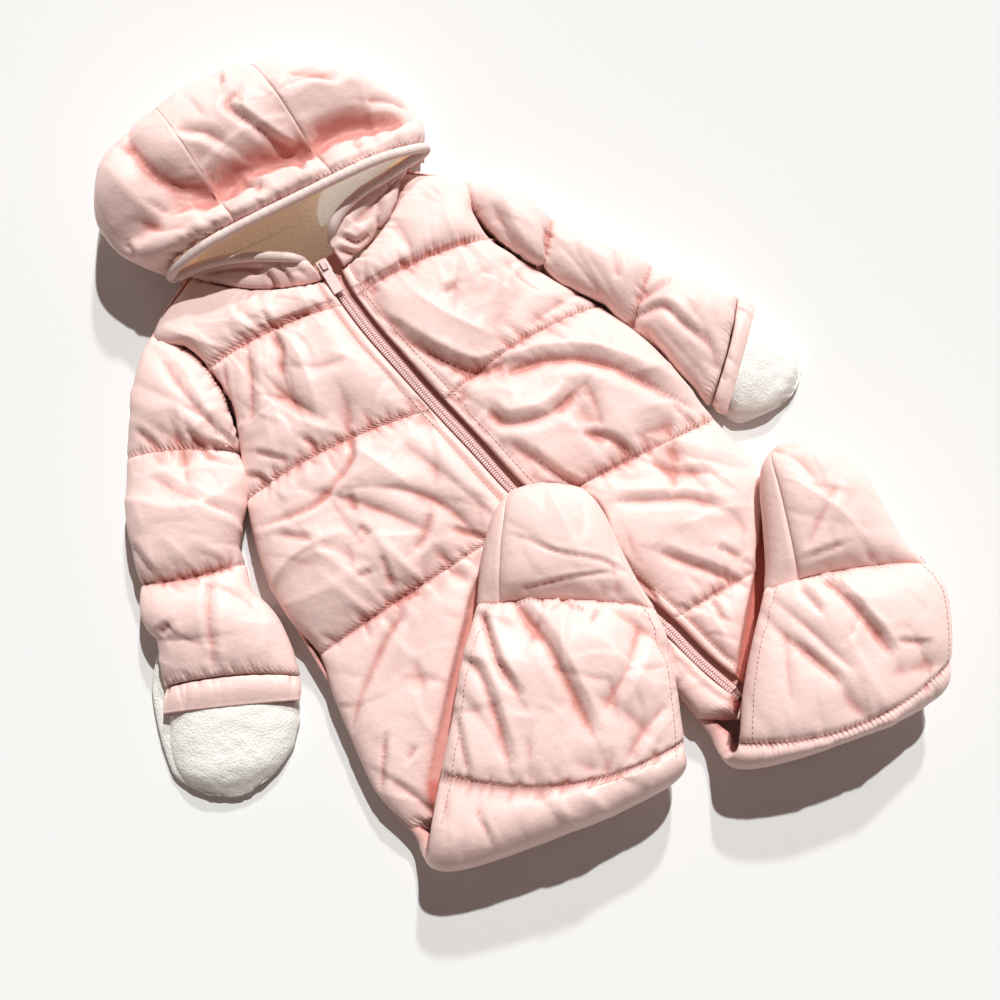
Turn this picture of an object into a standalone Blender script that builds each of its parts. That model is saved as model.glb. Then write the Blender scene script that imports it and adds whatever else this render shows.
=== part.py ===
"""A baby's padded snowsuit, laid on its back with both lower legs folded up over the thighs.

Every cloth panel is a closed wall. Its outer skin carries the quilting, the folds and the gathers;
its inner skin is plain. Lengths are in millimetres until a mesh is made, and then in metres.
The frame: +Y runs from the crotch to the hood, +X to the wearer's left, +Z up from the floor.
"""

import math
from collections import namedtuple

import bmesh
import bpy
import numpy as np
from mathutils import Matrix

MM = 0.001

# Where the middle of the laid garment is, in the frame that the tables use.
MIDDLE_X = -27.3
MIDDLE_Y = 5.2

# Walls and gaps
PADDED_WALL = 4.0  # shell, wadding and lining at a seam
SOLE_WALL = 3.0
LINING_WALL = 2.6  # fleece
THIN_WALL = 1.8  # hem bands
SEAM_GAP = 0.3
FRONT_LOWEST = 14.2  # the side seams of body and thighs run just under this height
BACK_HIGHEST = 13.9  # and just over this one

# Quilting and folds
BODY_PUFF = 6.5
INSEAM_PUFF = 2.5
SLEEVE_PUFF = 5.5
LEG_PUFF = 6.0
SOLE_PUFF = 3.0
BESIDE_SEAM = 0.2  # an extra row of points this far from each stitched row
DEEPEST = 1.4  # a fold goes no further than this into a wall
WADDING_THIN = 0.5  # exponent of the quilting's swell along the panel

# Cross sections: exponents of a superellipse
SOFT = (2.5, 1.9)  # a filled tube's top
FLAT = (9.0, 2.0)  # a side that lies on something

PINK = (0.85, 0.62, 0.57)
PINK_KNIT = (0.86, 0.70, 0.66)
FLEECE = (0.88, 0.85, 0.78)
ZIP_PINK = (0.82, 0.60, 0.58)
TAB_PINK = (0.84, 0.66, 0.63)

# ---------------------------------------------------------------- tables

# Rows across the body from neck to hip: the side seam or armhole on the wearer's right, the
# zip, and the side seam on the wearer's left, with the heights of the three. A row bows by `bow`
# towards the neck. seam = 1 where the row is a stitched edge or a quilting line.
BodyRow = namedtuple(
    "BodyRow", "right_x right_y right_z zip_x zip_y zip_z left_x left_y left_z bow seam"
)
BODY = [
    BodyRow(-90, 204, 22.0, -10.0, 148, 28.5, 74, 182, 22.0, -8, 1),
    BodyRow(-130, 187, 14.2, -11.0, 142, 30.5, 102, 157, 14.2, -5, 0),
    BodyRow(-118, 165, 23.0, -11.7, 135, 31.5, 95, 132, 23.0, -2, 0),
    BodyRow(-113, 143, 26.0, -12.0, 127, 31.5, 93, 110, 26.0, 4, 1),
    BodyRow(-114, 115, 25.0, -11.5, 100, 35.0, 99, 92, 22.0, 4, 0),
    BodyRow(-125, 88, 14.2, -8.5, 68, 37.0, 106, 76, 14.2, 4, 0),
    BodyRow(-143, 55, 14.2, -4.5, 33, 35.0, 128, 30, 14.2, 5, 1),
    BodyRow(-157, 12, 14.2, 0.2, -5, 38.0, 139, -10, 14.2, 3, 0),
    BodyRow(-162, -25, 14.2, 4.0, -36, 36.0, 143, -46, 14.2, 2, 0),
    BodyRow(-160, -58, 14.2, 9.2, -62, 30.0, 146, -79, 14.2, 0, 1),
]

# Front panels: a row from edge a to edge b, with the heights of both edges and of the crown.
PanelRow = namedtuple("PanelRow", "a_x a_y a_z b_x b_y b_z crown bow seam")
THIGH_RIGHT = [
    PanelRow(-168, -88, 14.2, 7.0, -88, 27.5, 27.5, 0, 0),
    PanelRow(-174, -120, 14.2, 1.0, -124, 20.0, 27.0, 0, 0),
    PanelRow(-179, -152, 14.2, -7.0, -172, 14.2, 26.0, 0, 0),
    PanelRow(-174, -183.5, 14.2, -6.0, -223.5, 14.2, 25.0, 0, 1),
]
THIGH_LEFT = [
    PanelRow(149, -114, 14.2, 25.8, -98, 28.0, 31.0, 0, 0),
    PanelRow(150, -146, 14.2, 34.8, -136, 27.5, 29.0, 0, 0),
    PanelRow(151, -182, 14.2, 43.4, -172, 26.5, 26.5, 0, 1),
    PanelRow(152, -227, 14.2, 49.0, -205, 25.5, 25.5, 0, 0),
    PanelRow(152.5, -275, 14.2, 58.0, -239.5, 25.0, 25.0, 0, 1),
]
# The strip of the wearer's left leg between its inside seam and the zip.
INSEAM_LEFT = [
    PanelRow(7.8, -84, 26.5, 10.0, -84, 28.6, 28.6, 0, 1),
    PanelRow(3.0, -122, 22.0, 18.8, -122, 27.6, 27.6, 0, 0),
    PanelRow(3.5, -156, 16.0, 27.1, -157, 26.8, 26.8, 0, 0),
    PanelRow(15.0, -188, 14.2, 33.7, -190, 26.0, 26.0, 0, 0),
    PanelRow(18.0, -216, 14.2, 39.5, -219, 25.3, 25.3, 0, 0),
    PanelRow(19.0, -234, 14.2, 48.0, -244, 24.8, 24.8, 0, 1),
]

# A leg's back panel: along the floor, round the fold and back over the leg to the heel. `tilt` is
# where the panel's outside faces: -90 down, 0 away from the body, 90 up. `inside` is 1 where edge
# b is a seam inside the leg, and 0 where it is the seam down the middle of the back.
BackRow = namedtuple("BackRow", "a_x a_y a_z b_x b_y b_z tilt lift inside bow seam")
BACK_RIGHT = [
    BackRow(-90, 211.2, 13.9, -8.3, 199.6, 13.9, -90, 13.9, 0, 0, 1),
    BackRow(-131, 187, 13.9, -8.3, 180, 13.9, -90, 13.9, 0, 0, 0),
    BackRow(-113, 143, 13.9, -8.3, 135, 13.9, -90, 13.9, 0, 0, 0),
    BackRow(-117, 116, 13.9, -8.3, 108, 13.9, -90, 13.9, 0, 0, 0),
    BackRow(-124, 88, 13.9, -8.3, 82, 13.9, -90, 13.9, 0, 0, 0),
    BackRow(-148, 42, 13.9, -8.3, 36, 13.9, -90, 13.9, 0, 0, 0),
    BackRow(-162, -25, 13.9, -8.3, -28, 13.9, -90, 13.9, 0, 0, 0),
    BackRow(-167, -85, 13.9, -8.3, -88, 13.9, -90, 13.9, 0, 0, 0),
    BackRow(-178, -142, 13.9, -7.0, -150, 13.9, -90, 13.9, 1, 0, 0),
    BackRow(-178, -168, 13.9, -7.0, -190, 13.9, -90, 13.9, 1, 0, 0),
    BackRow(-175, -190, 13.9, -6.0, -231, 13.9, -90, 13.9, 1, 0, 0),
    BackRow(-177, -201, 18.0, -5.0, -242, 18.0, -45, 15.0, 1, 0, 0),
    BackRow(-176, -205, 27.5, -5.0, -247, 27.5, 0, 16.0, 1, 0, 0),
    BackRow(-171, -202, 37.0, -5.0, -246, 37.0, 45, 16.0, 1, 0, 0),
    BackRow(-160, -190, 41.2, -4.0, -244, 41.2, 90, 15.5, 1, -7, 0),
    BackRow(-137, -167, 41.2, 0.0, -238, 41.2, 90, 15.0, 1, -17, 1),
    BackRow(-112, -144, 41.2, 14.0, -210, 41.2, 90, 16.5, 1, -4, 0),
    BackRow(-84, -116, 41.2, 28.0, -182, 41.2, 90, 16.5, 1, 0, 0),
    BackRow(-58, -93, 41.2, 34.0, -160, 41.2, 90, 11.0, 1, 3, 1),
]
BACK_LEFT = [
    BackRow(74, 191.6, 13.9, -7.7, 199.6, 13.9, -90, 13.9, 0, 0, 1),
    BackRow(102, 157, 13.9, -7.7, 180, 13.9, -90, 13.9, 0, 0, 0),
    BackRow(92, 110, 13.9, -7.7, 135, 13.9, -90, 13.9, 0, 0, 0),
    BackRow(98, 93, 13.9, -7.7, 108, 13.9, -90, 13.9, 0, 0, 0),
    BackRow(106, 76, 13.9, -7.7, 82, 13.9, -90, 13.9, 0, 0, 0),
    BackRow(128, 30, 13.9, -7.7, 36, 13.9, -90, 13.9, 0, 0, 0),
    BackRow(143, -46, 13.9, -7.7, -28, 13.9, -90, 13.9, 0, 0, 0),
    BackRow(148, -100, 13.9, -7.7, -88, 13.9, -90, 13.9, 0, 0, 0),
    BackRow(151, -165, 13.9, 3.5, -150, 13.9, -90, 13.9, 1, 0, 0),
    BackRow(152, -225, 13.9, 13.0, -196, 13.9, -90, 13.9, 1, 0, 0),
    BackRow(153, -282, 13.9, 19.0, -241, 13.9, -90, 13.9, 1, 0, 0),
    BackRow(157, -296, 17.0, 17.0, -257, 18.0, -45, 14.5, 1, 0, 0),
    BackRow(161, -302, 25.0, 17.0, -262, 26.5, 0, 15.0, 1, 0, 0),
    BackRow(166, -301, 33.0, 21.0, -263, 35.5, 45, 15.5, 1, 4, 0),
    BackRow(171, -295, 36.7, 28.0, -260, 39.7, 90, 15.0, 1, 16, 1),
    BackRow(183, -277, 36.7, 50.0, -236, 39.7, 90, 16.5, 1, 8, 0),
    BackRow(194, -257, 36.7, 75.0, -213, 39.7, 90, 17.0, 1, 0, 0),
    BackRow(197, -238, 36.7, 100.0, -191, 39.7, 90, 12.0, 1, -3, 1),
]
FLOOR_ROWS = 10  # the rows of a back that lie on the floor

# The front of each folded lower leg lies under its back, from the fold to the ankle.
FOLDED_RIGHT = [
    BackRow(-152, -183, 40.4, -1.0, -230, 40.4, -90, 14.0, 1, 0, 1),
    BackRow(-112, -144, 40.4, 14.0, -210, 40.4, -90, 14.0, 1, 0, 0),
    BackRow(-84, -116, 40.4, 28.0, -182, 40.4, -90, 14.0, 1, 0, 0),
    BackRow(-59, -94, 40.4, 33.0, -161, 40.4, -90, 14.0, 1, 3, 1),
]
FOLDED_LEFT = [
    BackRow(172, -287, 35.9, 36.0, -247, 38.9, -90, 14.0, 1, 0, 1),
    BackRow(183, -277, 35.9, 50.0, -236, 38.9, -90, 14.0, 1, 0, 0),
    BackRow(194, -257, 35.9, 75.0, -213, 38.9, -90, 14.0, 1, 0, 0),
    BackRow(196, -239, 35.9, 99.0, -192, 38.9, -90, 14.0, 1, -3, 1),
]

# Tubes: a row across the tube, with how far its top and its underside stand from its side seams.
TubeRow = namedtuple("TubeRow", "a_x a_y a_z b_x b_y b_z over under bow seam")
SLEEVE_RIGHT = [
    TubeRow(-134.4, 188.5, 14, -127.2, 88.4, 14, 12.0, 14.0, 14.6, 1),
    TubeRow(-152.0, 173.0, 14, -128.0, 88.0, 14, 17.0, 14.0, 6, 0),
    TubeRow(-174.0, 149.0, 14, -128.8, 87.4, 14, 18.0, 14.0, 3, 0),
    TubeRow(-193.0, 125.0, 14, -130.0, 86.0, 14, 15.0, 14.0, 2, 1),
    TubeRow(-213.0, 90.0, 14, -145.5, 57.0, 14, 18.5, 14.0, 1, 0),
    TubeRow(-224.0, 64.0, 14, -163.0, 37.0, 14, 18.0, 14.0, 0, 0),
    TubeRow(-231.0, 48.0, 14, -168.0, 21.0, 14, 14.0, 14.0, -4, 1),
    TubeRow(-241.0, 29.0, 14, -173.0, 2.0, 14, 17.5, 14.0, -2, 0),
    TubeRow(-244.0, 8.0, 14, -171.0, -25.0, 14, 17.0, 14.0, 0, 0),
    TubeRow(-255.0, -17.0, 14, -178.0, -61.0, 14, 11.5, 8.0, 3, 1),
]
SLEEVE_LEFT = [
    TubeRow(105.0, 157.6, 14, 108.0, 76.0, 14, 12.0, 14.0, -9.6, 1),
    TubeRow(118.0, 141.0, 14, 108.6, 75.0, 14, 17.0, 14.0, -4, 0),
    TubeRow(129.0, 121.0, 14, 109.6, 74.0, 14, 18.0, 14.0, 0, 0),
    TubeRow(138.5, 99.0, 14, 110.6, 72.0, 14, 14.0, 14.0, 0, 1),
    TubeRow(153.0, 64.0, 14, 122.8, 44.0, 14, 18.0, 14.0, 0, 0),
    TubeRow(167.0, 43.0, 14, 132.0, 24.0, 14, 17.0, 14.0, 0, 0),
    TubeRow(175.0, 33.0, 14, 137.8, 4.0, 14, 14.0, 14.0, 0, 1),
    TubeRow(187.0, 10.0, 14, 143.0, -22.0, 14, 17.5, 14.0, 0, 0),
    TubeRow(196.0, -4.0, 14, 145.5, -44.0, 14, 17.0, 14.0, 0, 0),
    TubeRow(211.0, -18.0, 14, 149.5, -69.0, 14, 11.5, 8.0, 2, 1),
]
CUFF_RIGHT = [
    TubeRow(-255.6, -18.2, 14, -178.6, -62.2, 14, 12.0, 8.0, 3, 1),
    TubeRow(-260.0, -24.5, 14, -182.5, -68.5, 14, 11.5, 8.0, 2, 0),
    TubeRow(-265.5, -31.0, 14, -187.0, -75.0, 14, 9.0, 8.0, 0, 1),
]
CUFF_LEFT = [
    TubeRow(211.8, -19.2, 14, 150.3, -70.2, 14, 12.0, 8.0, 2, 1),
    TubeRow(214.5, -25.0, 14, 152.0, -76.0, 14, 11.5, 8.0, 1, 0),
    TubeRow(217.0, -31.5, 14, 155.0, -81.0, 14, 9.0, 8.0, 0, 1),
]
# Mitts, from the cuff to the finger end: the under layer is the broader one.
MITT_UNDER_RIGHT = [
    TubeRow(-266.0, -14.0, 4, -193.0, -58.0, 4, 0, 4, 0, 1),
    TubeRow(-275.0, -36.0, 4, -193.0, -80.0, 4, 0, 4, 0, 0),
    TubeRow(-281.0, -56.0, 4, -201.0, -90.0, 4, 0, 4, 0, 0),
    TubeRow(-282.0, -71.0, 4, -211.0, -98.0, 4, 0, 4, -2, 0),
    TubeRow(-272.0, -90.0, 4, -228.0, -104.0, 4, 0, 4, -6, 1),
]
MITT_TOP_RIGHT = [
    TubeRow(-252.0, -41.0, 4.4, -203.0, -68.5, 4.4, 13.0, 0, 0, 1),
    TubeRow(-268.0, -53.0, 4.4, -200.0, -88.0, 4.4, 16.0, 0, 0, 0),
    TubeRow(-276.0, -70.0, 4.4, -213.0, -96.0, 4.4, 15.0, 0, -2, 0),
    TubeRow(-268.0, -88.0, 4.4, -231.0, -102.0, 4.4, 1.0, 0, -6, 1),
]
MITT_UNDER_LEFT = [
    TubeRow(213.0, -24.0, 4, 155.0, -72.0, 4, 0, 4, 0, 1),
    TubeRow(224.0, -43.0, 4, 160.0, -88.0, 4, 0, 4, 0, 0),
    TubeRow(228.0, -64.0, 4, 172.0, -93.0, 4, 0, 4, 2, 0),
    TubeRow(221.0, -81.0, 4, 190.0, -96.0, 4, 0, 4, 5, 1),
]
MITT_TOP_LEFT = [
    TubeRow(212.0, -41.0, 4.4, 166.0, -79.0, 4.4, 13.0, 0, 0, 1),
    TubeRow(221.0, -50.0, 4.4, 167.0, -87.0, 4.4, 16.0, 0, 0, 0),
    TubeRow(224.0, -65.0, 4.4, 177.0, -91.0, 4.4, 15.0, 0, 2, 0),
    TubeRow(218.0, -79.0, 4.4, 193.0, -93.0, 4.4, 1.0, 0, 4, 1),
]

# Booties, from the heel to the toe. The sole is uppermost, between sole_a and sole_b across the
# row, and the upper is the rest of the ring.
FootRow = namedtuple("FootRow", "a_x a_y a_z b_x b_y b_z over under sole_a sole_b bow seam")
FOOT_RIGHT = [
    FootRow(-57.0, -91.2, 41, 34.8, -158.2, 41, 10.0, 14.4, 0.13, 0.95, 3, 1),
    FootRow(-46, -78, 42, 36, -138, 42, 17.0, 15.4, 0.13, 0.96, 0, 0),
    FootRow(-33, -64, 42, 40, -113, 42, 19.0, 15.4, 0.13, 0.97, 0, 0),
    FootRow(-20, -53, 42, 44, -92, 41, 18.0, 15.0, 0.12, 0.97, 0, 0),
    FootRow(-9, -47, 41, 44, -77, 40, 14.0, 13.0, 0.08, 0.97, 1, 0),
    FootRow(1, -44, 40, 39, -66, 39, 1.4, 1.4, 0.03, 0.97, 4, 1),
]
FOOT_LEFT = [
    FootRow(196.6, -235.6, 36.7, 100.6, -189.6, 39.7, 11.0, 14.0, 0.03, 0.80, -3, 1),
    FootRow(194, -216, 36.7, 111, -177, 39.7, 18.0, 14.2, 0.02, 0.82, 0, 0),
    FootRow(196, -193, 36.7, 124, -157, 39.9, 20.0, 14.2, 0.02, 0.84, 0, 0),
    FootRow(198, -170, 37, 136, -138, 39.9, 19.0, 14.2, 0.02, 0.86, 0, 0),
    FootRow(194, -148, 37, 147, -125, 39.7, 15.0, 13.0, 0.02, 0.90, -2, 0),
    FootRow(184, -134, 37, 158, -120, 38.7, 1.4, 1.4, 0.03, 0.96, -5, 1),
]
SOLE_GAP = 0.013  # share of a row between the sole and the upper

# The hood, from its mouth to its crown: the outline's two sides, and how far the top and the
# underside stand from it.
HOOD = [
    TubeRow(-101, 214, 20, 94, 191, 20, 42, 20, -2, 1),
    TubeRow(-107, 220, 20, 99, 197, 20, 45, 20, -2, 0),
    TubeRow(-114, 229, 20, 103, 205, 20, 38, 20, -1, 0),
    TubeRow(-119, 240, 20, 105, 215, 20, 29, 20, 1, 0),
    TubeRow(-121, 254, 20, 102, 232, 20, 42, 20, 4, 0),
    TubeRow(-119, 270, 20, 94, 250, 20, 50, 20, 6, 0),
    TubeRow(-111, 286, 20, 80, 268, 20, 49, 20, 6, 0),
    TubeRow(-98, 301, 20, 63, 287, 20, 40, 20, 5, 0),
    TubeRow(-79, 313, 20, 42, 304, 20, 24, 16, 3, 0),
    TubeRow(-60, 320, 20, 20, 315, 20, 1.6, 1.6, 1, 1),
]
HOOD_SEAM_RIGHT_X = -44.5
HOOD_SEAM_LEFT_X = 27.0
HOOD_GATHER_DEPTH = 1.7
HOOD_GATHER_ROWS = 2.6  # the gathers fade out this many rows behind the mouth
HOOD_LINING_INSET = 7.0
HOOD_LINING_ROWS = (0.1, 0.5, 1, 1.5, 2, 2.5, 3, 3.5, 4, 5, 6, 6.4, 6.8)
# The lining of the nape lies inside the back's neck edge.
NAPE_LINING = [
    PanelRow(-80, 208.0, 7.4, 64, 191.2, 7.4, 7.4, -2, 1),
    PanelRow(-78, 190, 7.4, 62, 178, 7.4, 7.4, 0, 0),
    PanelRow(-60, 164, 7.4, 44, 156, 7.4, 7.4, 0, 1),
]

# Chin pieces, from the hood's corner to the zip: places along the neck seam, and the bound edge.
ChinRow = namedtuple("ChinRow", "neck edge_x edge_y edge_z rise")
CHIN_RIGHT = [
    ChinRow(0.03, -96, 207.0, 26, 1.0),
    ChinRow(0.20, -79, 203.0, 29, 3.0),
    ChinRow(0.38, -60, 194.5, 32, 4.0),
    ChinRow(0.56, -42, 183.0, 34, 4.5),
    ChinRow(0.78, -27, 171.5, 35, 4.5),
    ChinRow(0.97, -18.5, 166, 34, 3.0),
]
CHIN_LEFT = [
    ChinRow(0.03, 89, 184.5, 26, 1.0),
    ChinRow(0.16, 75, 183.5, 30, 3.0),
    ChinRow(0.32, 57, 182.5, 33, 4.0),
    ChinRow(0.50, 37, 182.0, 35, 4.5),
    ChinRow(0.72, 17, 177.5, 35, 4.5),
    ChinRow(0.97, 1.5, 167.5, 34, 3.0),
]
NECK_GAP = 1.4
# The knitted binding round the mouth turns at the hood's two corners.
CORNER_RIGHT = (-99.5, 208.6, 34.5)
CORNER_LEFT = (92.5, 185.8, 34.5)
BINDING_RADIUS = 3.4
BINDING_GATHERS = 36
BINDING_SIDES = 5
BINDING_OFF_HOOD = 4.4
BINDING_OVER_CHIN = 4.6
LIP_ENDS = (0.05, 0.95)

# The zip, from the neck to the end of its run on the wearer's left thigh.
Point = namedtuple("Point", "x y z")
ZIP = [
    Point(-9.8, 165, 24.5),
    Point(-10.0, 152, 27.5),
    Point(-11.7, 135, 31.5),
    Point(-12.0, 127, 31.5),
    Point(-11.5, 100, 35.0),
    Point(-8.5, 68, 37.0),
    Point(-4.5, 33, 35.0),
    Point(0.2, -5, 38.0),
    Point(4.0, -36, 36.0),
    Point(9.2, -62, 30.0),
    Point(17.8, -98, 28.0),
    Point(26.8, -136, 27.3),
    Point(35.4, -172, 26.3),
    Point(40.6, -204, 25.3),
    Point(49.0, -238, 24.9),
]
ZIP_RIGHT_EDGE = 4.6  # from the zip's middle to the right front's edge
ZIP_LEFT_EDGE = 8.0  # and to the left front's edge, which stands off it
COIL_START = 1.15  # the row of ZIP just below the slider
COIL_HALF_WIDTH = 3.2
COIL_TOP = 2.0  # how far below the fronts' edges
COIL_BOTTOM = 5.2
TAPE_TOP = 6.0
TAPE_THICKNESS = 1.1
TAPE_INNER = 1.5
TAPE_OUTER = 11.5

# Slider and pull tab. The tab hangs on a bar under the slider's bridge.
SLIDER_SIZE = (8.4, 10.6, 4.4)
SLIDER_AT = (-11.2, 156.6, 28.9)
BRIDGE_WIDTH = 3.0
BRIDGE_REACH = 3.6  # from the slider's middle to each end of the bridge
BRIDGE_HOLLOW = 3.4
BRIDGE_BAR = 1.1
BRIDGE_ROOT = 1.0  # how far the bridge's feet go into the slider
TAB_SIZE = (7.0, 23.5, 1.7)
TAB_SLOT = (4.0, 5.2)
TAB_BAR = 1.3
TAB_AHEAD = 1.2  # the hinge is this far behind the slider's middle
TAB_Z = 33.0
TAB_TURN = -4.1  # degrees that slider and tab lie off the body's line

# Long folds that run across the quilting: two ends, how wide and how deep.
Fold = namedtuple("Fold", "x1 y1 x2 y2 width depth")
FRONT_FOLDS = [
    Fold(-104, 88, -60, 60, 10, 5.5),
    Fold(-60, 108, -28, 78, 9, 4.5),
    Fold(-128, 20, -66, 8, 11, 5.5),
    Fold(-95, -22, -22, -8, 10, 5.0),
    Fold(-140, -35, -90, -50, 10, 4.5),
    Fold(-150, -110, -100, -150, 11, 4.5),
    Fold(40, 98, 84, 66, 10, 5.5),
    Fold(14, 78, 52, 50, 9, 4.5),
    Fold(24, 8, 122, -16, 11, 6.0),
    Fold(56, -30, 134, -52, 11, 5.5),
    Fold(20, -18, 64, -42, 10, 4.5),
    Fold(62, -98, 140, -104, 10, 4.5),
]
CALF_FOLDS_RIGHT = [
    Fold(-62, -104, -98, -152, 9, 6.0),
    Fold(-44, -114, -72, -196, 9, 6.5),
    Fold(-20, -130, -46, -206, 9, 6.5),
    Fold(20, -166, -10, -222, 9, 6.0),
]
CALF_FOLDS_LEFT = [
    Fold(126, -208, 98, -264, 9, 6.5),
    Fold(152, -224, 126, -278, 9, 6.5),
    Fold(178, -238, 160, -272, 9, 5.5),
]
SLEEVE_FOLDS_RIGHT = [
    Fold(-140, 92, -184, 112, 9, 5.0),
    Fold(-206, 84, -166, 62, 9, 5.0),
    Fold(-232, 22, -188, 14, 9, 4.5),
    Fold(-240, 0, -194, -28, 9, 4.5),
]
SLEEVE_FOLDS_LEFT = [
    Fold(112, 92, 134, 108, 9, 5.0),
    Fold(128, 54, 152, 58, 9, 4.5),
    Fold(150, 0, 184, 14, 9, 4.5),
    Fold(158, -38, 196, -8, 9, 4.5),
]

# Where the folded lower legs press the cloth beneath them to the height `top`: a line with a
# radius at each end.
Press = namedtuple("Press", "x1 y1 r1 x2 y2 r2 top")
PRESSES = [
    Press(-86, -212, 76, -20, -130, 58, 25.4),
    Press(-20, -130, 58, 12, -84, 45, 25.4),
    Press(-2, -208, 24, 12, -150, 30, 25.4),
    Press(100, -272, 66, 146, -200, 47, 21.2),
    Press(146, -200, 47, 168, -152, 39, 21.2),
]
PRESS_SLOPE = 0.9


# ---------------------------------------------------------------- curves and profiles


def between(table, stations):
    """Every column of a table at fractional row numbers, on a smooth curve through its rows."""
    rows = np.array(table, float)
    first = np.clip(np.floor(stations).astype(int), 0, len(rows) - 2)
    t = (stations - first)[:, None]
    slopes = np.gradient(rows, axis=0)
    ahead = first + 1
    return (
        (2 * t**3 - 3 * t**2 + 1) * rows[first]
        + (t**3 - 2 * t**2 + t) * slopes[first]
        + (3 * t**2 - 2 * t**3) * rows[ahead]
        + (t**3 - t**2) * slopes[ahead]
    )


def column(table, values, name):
    return values[:, table[0]._fields.index(name)]


def dome(u, shape=SOFT):
    """0 at both edges, 1 in the middle, and upright at the edges."""
    power, root = shape
    return np.clip(1 - np.abs(2 * u - 1) ** power, 0, 1) ** (1 / root)


def half_dome(u, shape=SOFT):
    """0 at u = 0, where it stands upright, and 1 from u = 1 on, where it is level."""
    power, root = shape
    return np.clip(1 - (1 - np.clip(u, 0, 1)) ** power, 0, 1) ** (1 / root)


def spaced(count, ends="both", crowding=0.55):
    """count + 1 places from 0 to 1, closer together towards the upright edges."""
    s = np.linspace(0, 1, count + 1)
    crowded = {
        "both": (1 - np.cos(math.pi * s)) / 2,
        "start": 1 - np.cos(math.pi * s / 2),
        "finish": np.sin(math.pi * s / 2),
    }[ends]
    return (1 - crowding) * s + crowding * crowded


def stations_of(table, steps, beside=0.0, single=0):
    """`steps` places between each two rows, but one between the first `single` rows, and one more
    close beside each stitched row. Their intervals are even in number: see `wall`."""
    places = {float(len(table) - 1)}
    for i in range(len(table) - 1):
        share = 1 if i < single else steps
        places.update(i + k / share for k in range(share))
        if beside and i >= single and table[i].seam:
            places.add(i + beside)
        if beside and i >= single and table[i + 1].seam:
            places.add(i + 1 - beside)
    places = sorted(places)
    if len(places) % 2 == 0:
        apart = np.diff(places)
        apart[:single] = 0
        widest = len(apart) - 1 - int(np.argmax(apart[::-1]))
        places.insert(widest + 1, (places[widest] + places[widest + 1]) / 2)
    return np.array(places)


def puff_along(table, stations):
    """0 on every stitched row, 1 midway between two."""
    stitched = [i for i, row in enumerate(table) if row.seam]
    lower = np.array([max([i for i in stitched if i <= s + 1e-9]) for s in stations])
    upper = np.array([min([i for i in stitched if i >= s - 1e-9]) for s in stations])
    span = np.maximum(upper - lower, 1e-6)
    return np.sin(math.pi * np.clip((stations - lower) / span, 0, 1)) ** WADDING_THIN


def puff_across(u):
    return np.clip(1 - np.abs(2 * u - 1) ** 6, 0, 1) ** 0.5


def fold_depth(points, folds):
    """How deep the folds are at each point, seen from above."""
    depth = np.zeros(points.shape[:-1])
    for fold in folds:
        start = np.array([fold.x1, fold.y1], float)
        run = np.array([fold.x2, fold.y2], float) - start
        along = np.clip(((points[..., :2] - start) @ run) / (run @ run), 0, 1)
        away = np.linalg.norm(points[..., :2] - start - along[..., None] * run, axis=-1)
        fade = np.clip(4 * along * (1 - along), 0, 1) ** 0.5
        depth += fold.depth * fade * np.exp(-((away / fold.width) ** 2))
    return depth


def pressed(points):
    """Lowers what lies under the folded lower legs, rising again beside them."""
    limit = np.full(points.shape[:-1], np.inf)
    for press in PRESSES:
        start = np.array([press.x1, press.y1], float)
        run = np.array([press.x2, press.y2], float) - start
        along = np.clip(((points[..., :2] - start) @ run) / (run @ run), 0, 1)
        away = np.linalg.norm(points[..., :2] - start - along[..., None] * run, axis=-1)
        beside = np.maximum(away - press.r1 - (press.r2 - press.r1) * along, 0)
        limit = np.minimum(limit, press.top + PRESS_SLOPE * beside)
    lowered = points.copy()
    lowered[..., 2] = np.minimum(points[..., 2], limit)
    return lowered


# ---------------------------------------------------------------- grids of points


def unit(vectors):
    return vectors / np.maximum(np.linalg.norm(vectors, axis=-1, keepdims=True), 1e-9)


def row_line(table, values, u):
    """The line of each row at the places u across it, bowed to the left of a-to-b."""
    a = np.stack([column(table, values, name) for name in ("a_x", "a_y", "a_z")], axis=-1)
    b = np.stack([column(table, values, name) for name in ("b_x", "b_y", "b_z")], axis=-1)
    u = np.broadcast_to(u, (len(values), np.shape(u)[-1]))
    line = a[:, None] * (1 - u[..., None]) + b[:, None] * u[..., None]
    square = unit(np.stack([a[:, 1] - b[:, 1], b[:, 0] - a[:, 0]], axis=-1))
    bow = column(table, values, "bow")[:, None] * 4 * u * (1 - u)
    line[..., :2] += square[:, None] * bow[..., None]
    return line, u


def front_grid(table, stations, u):
    """A front panel: it rounds down to each edge as far as that edge is below the crown."""
    values = between(table, stations)
    grid, u = row_line(table, values, u)
    crown = column(table, values, "crown")[:, None]
    below_a = crown - column(table, values, "a_z")[:, None]
    below_b = crown - column(table, values, "b_z")[:, None]
    height = crown - below_a * (1 - half_dome(u / 0.9)) - below_b * (1 - half_dome((1 - u) / 0.5))
    grid[..., 2] = np.maximum(height, FRONT_LOWEST)
    return grid


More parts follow.
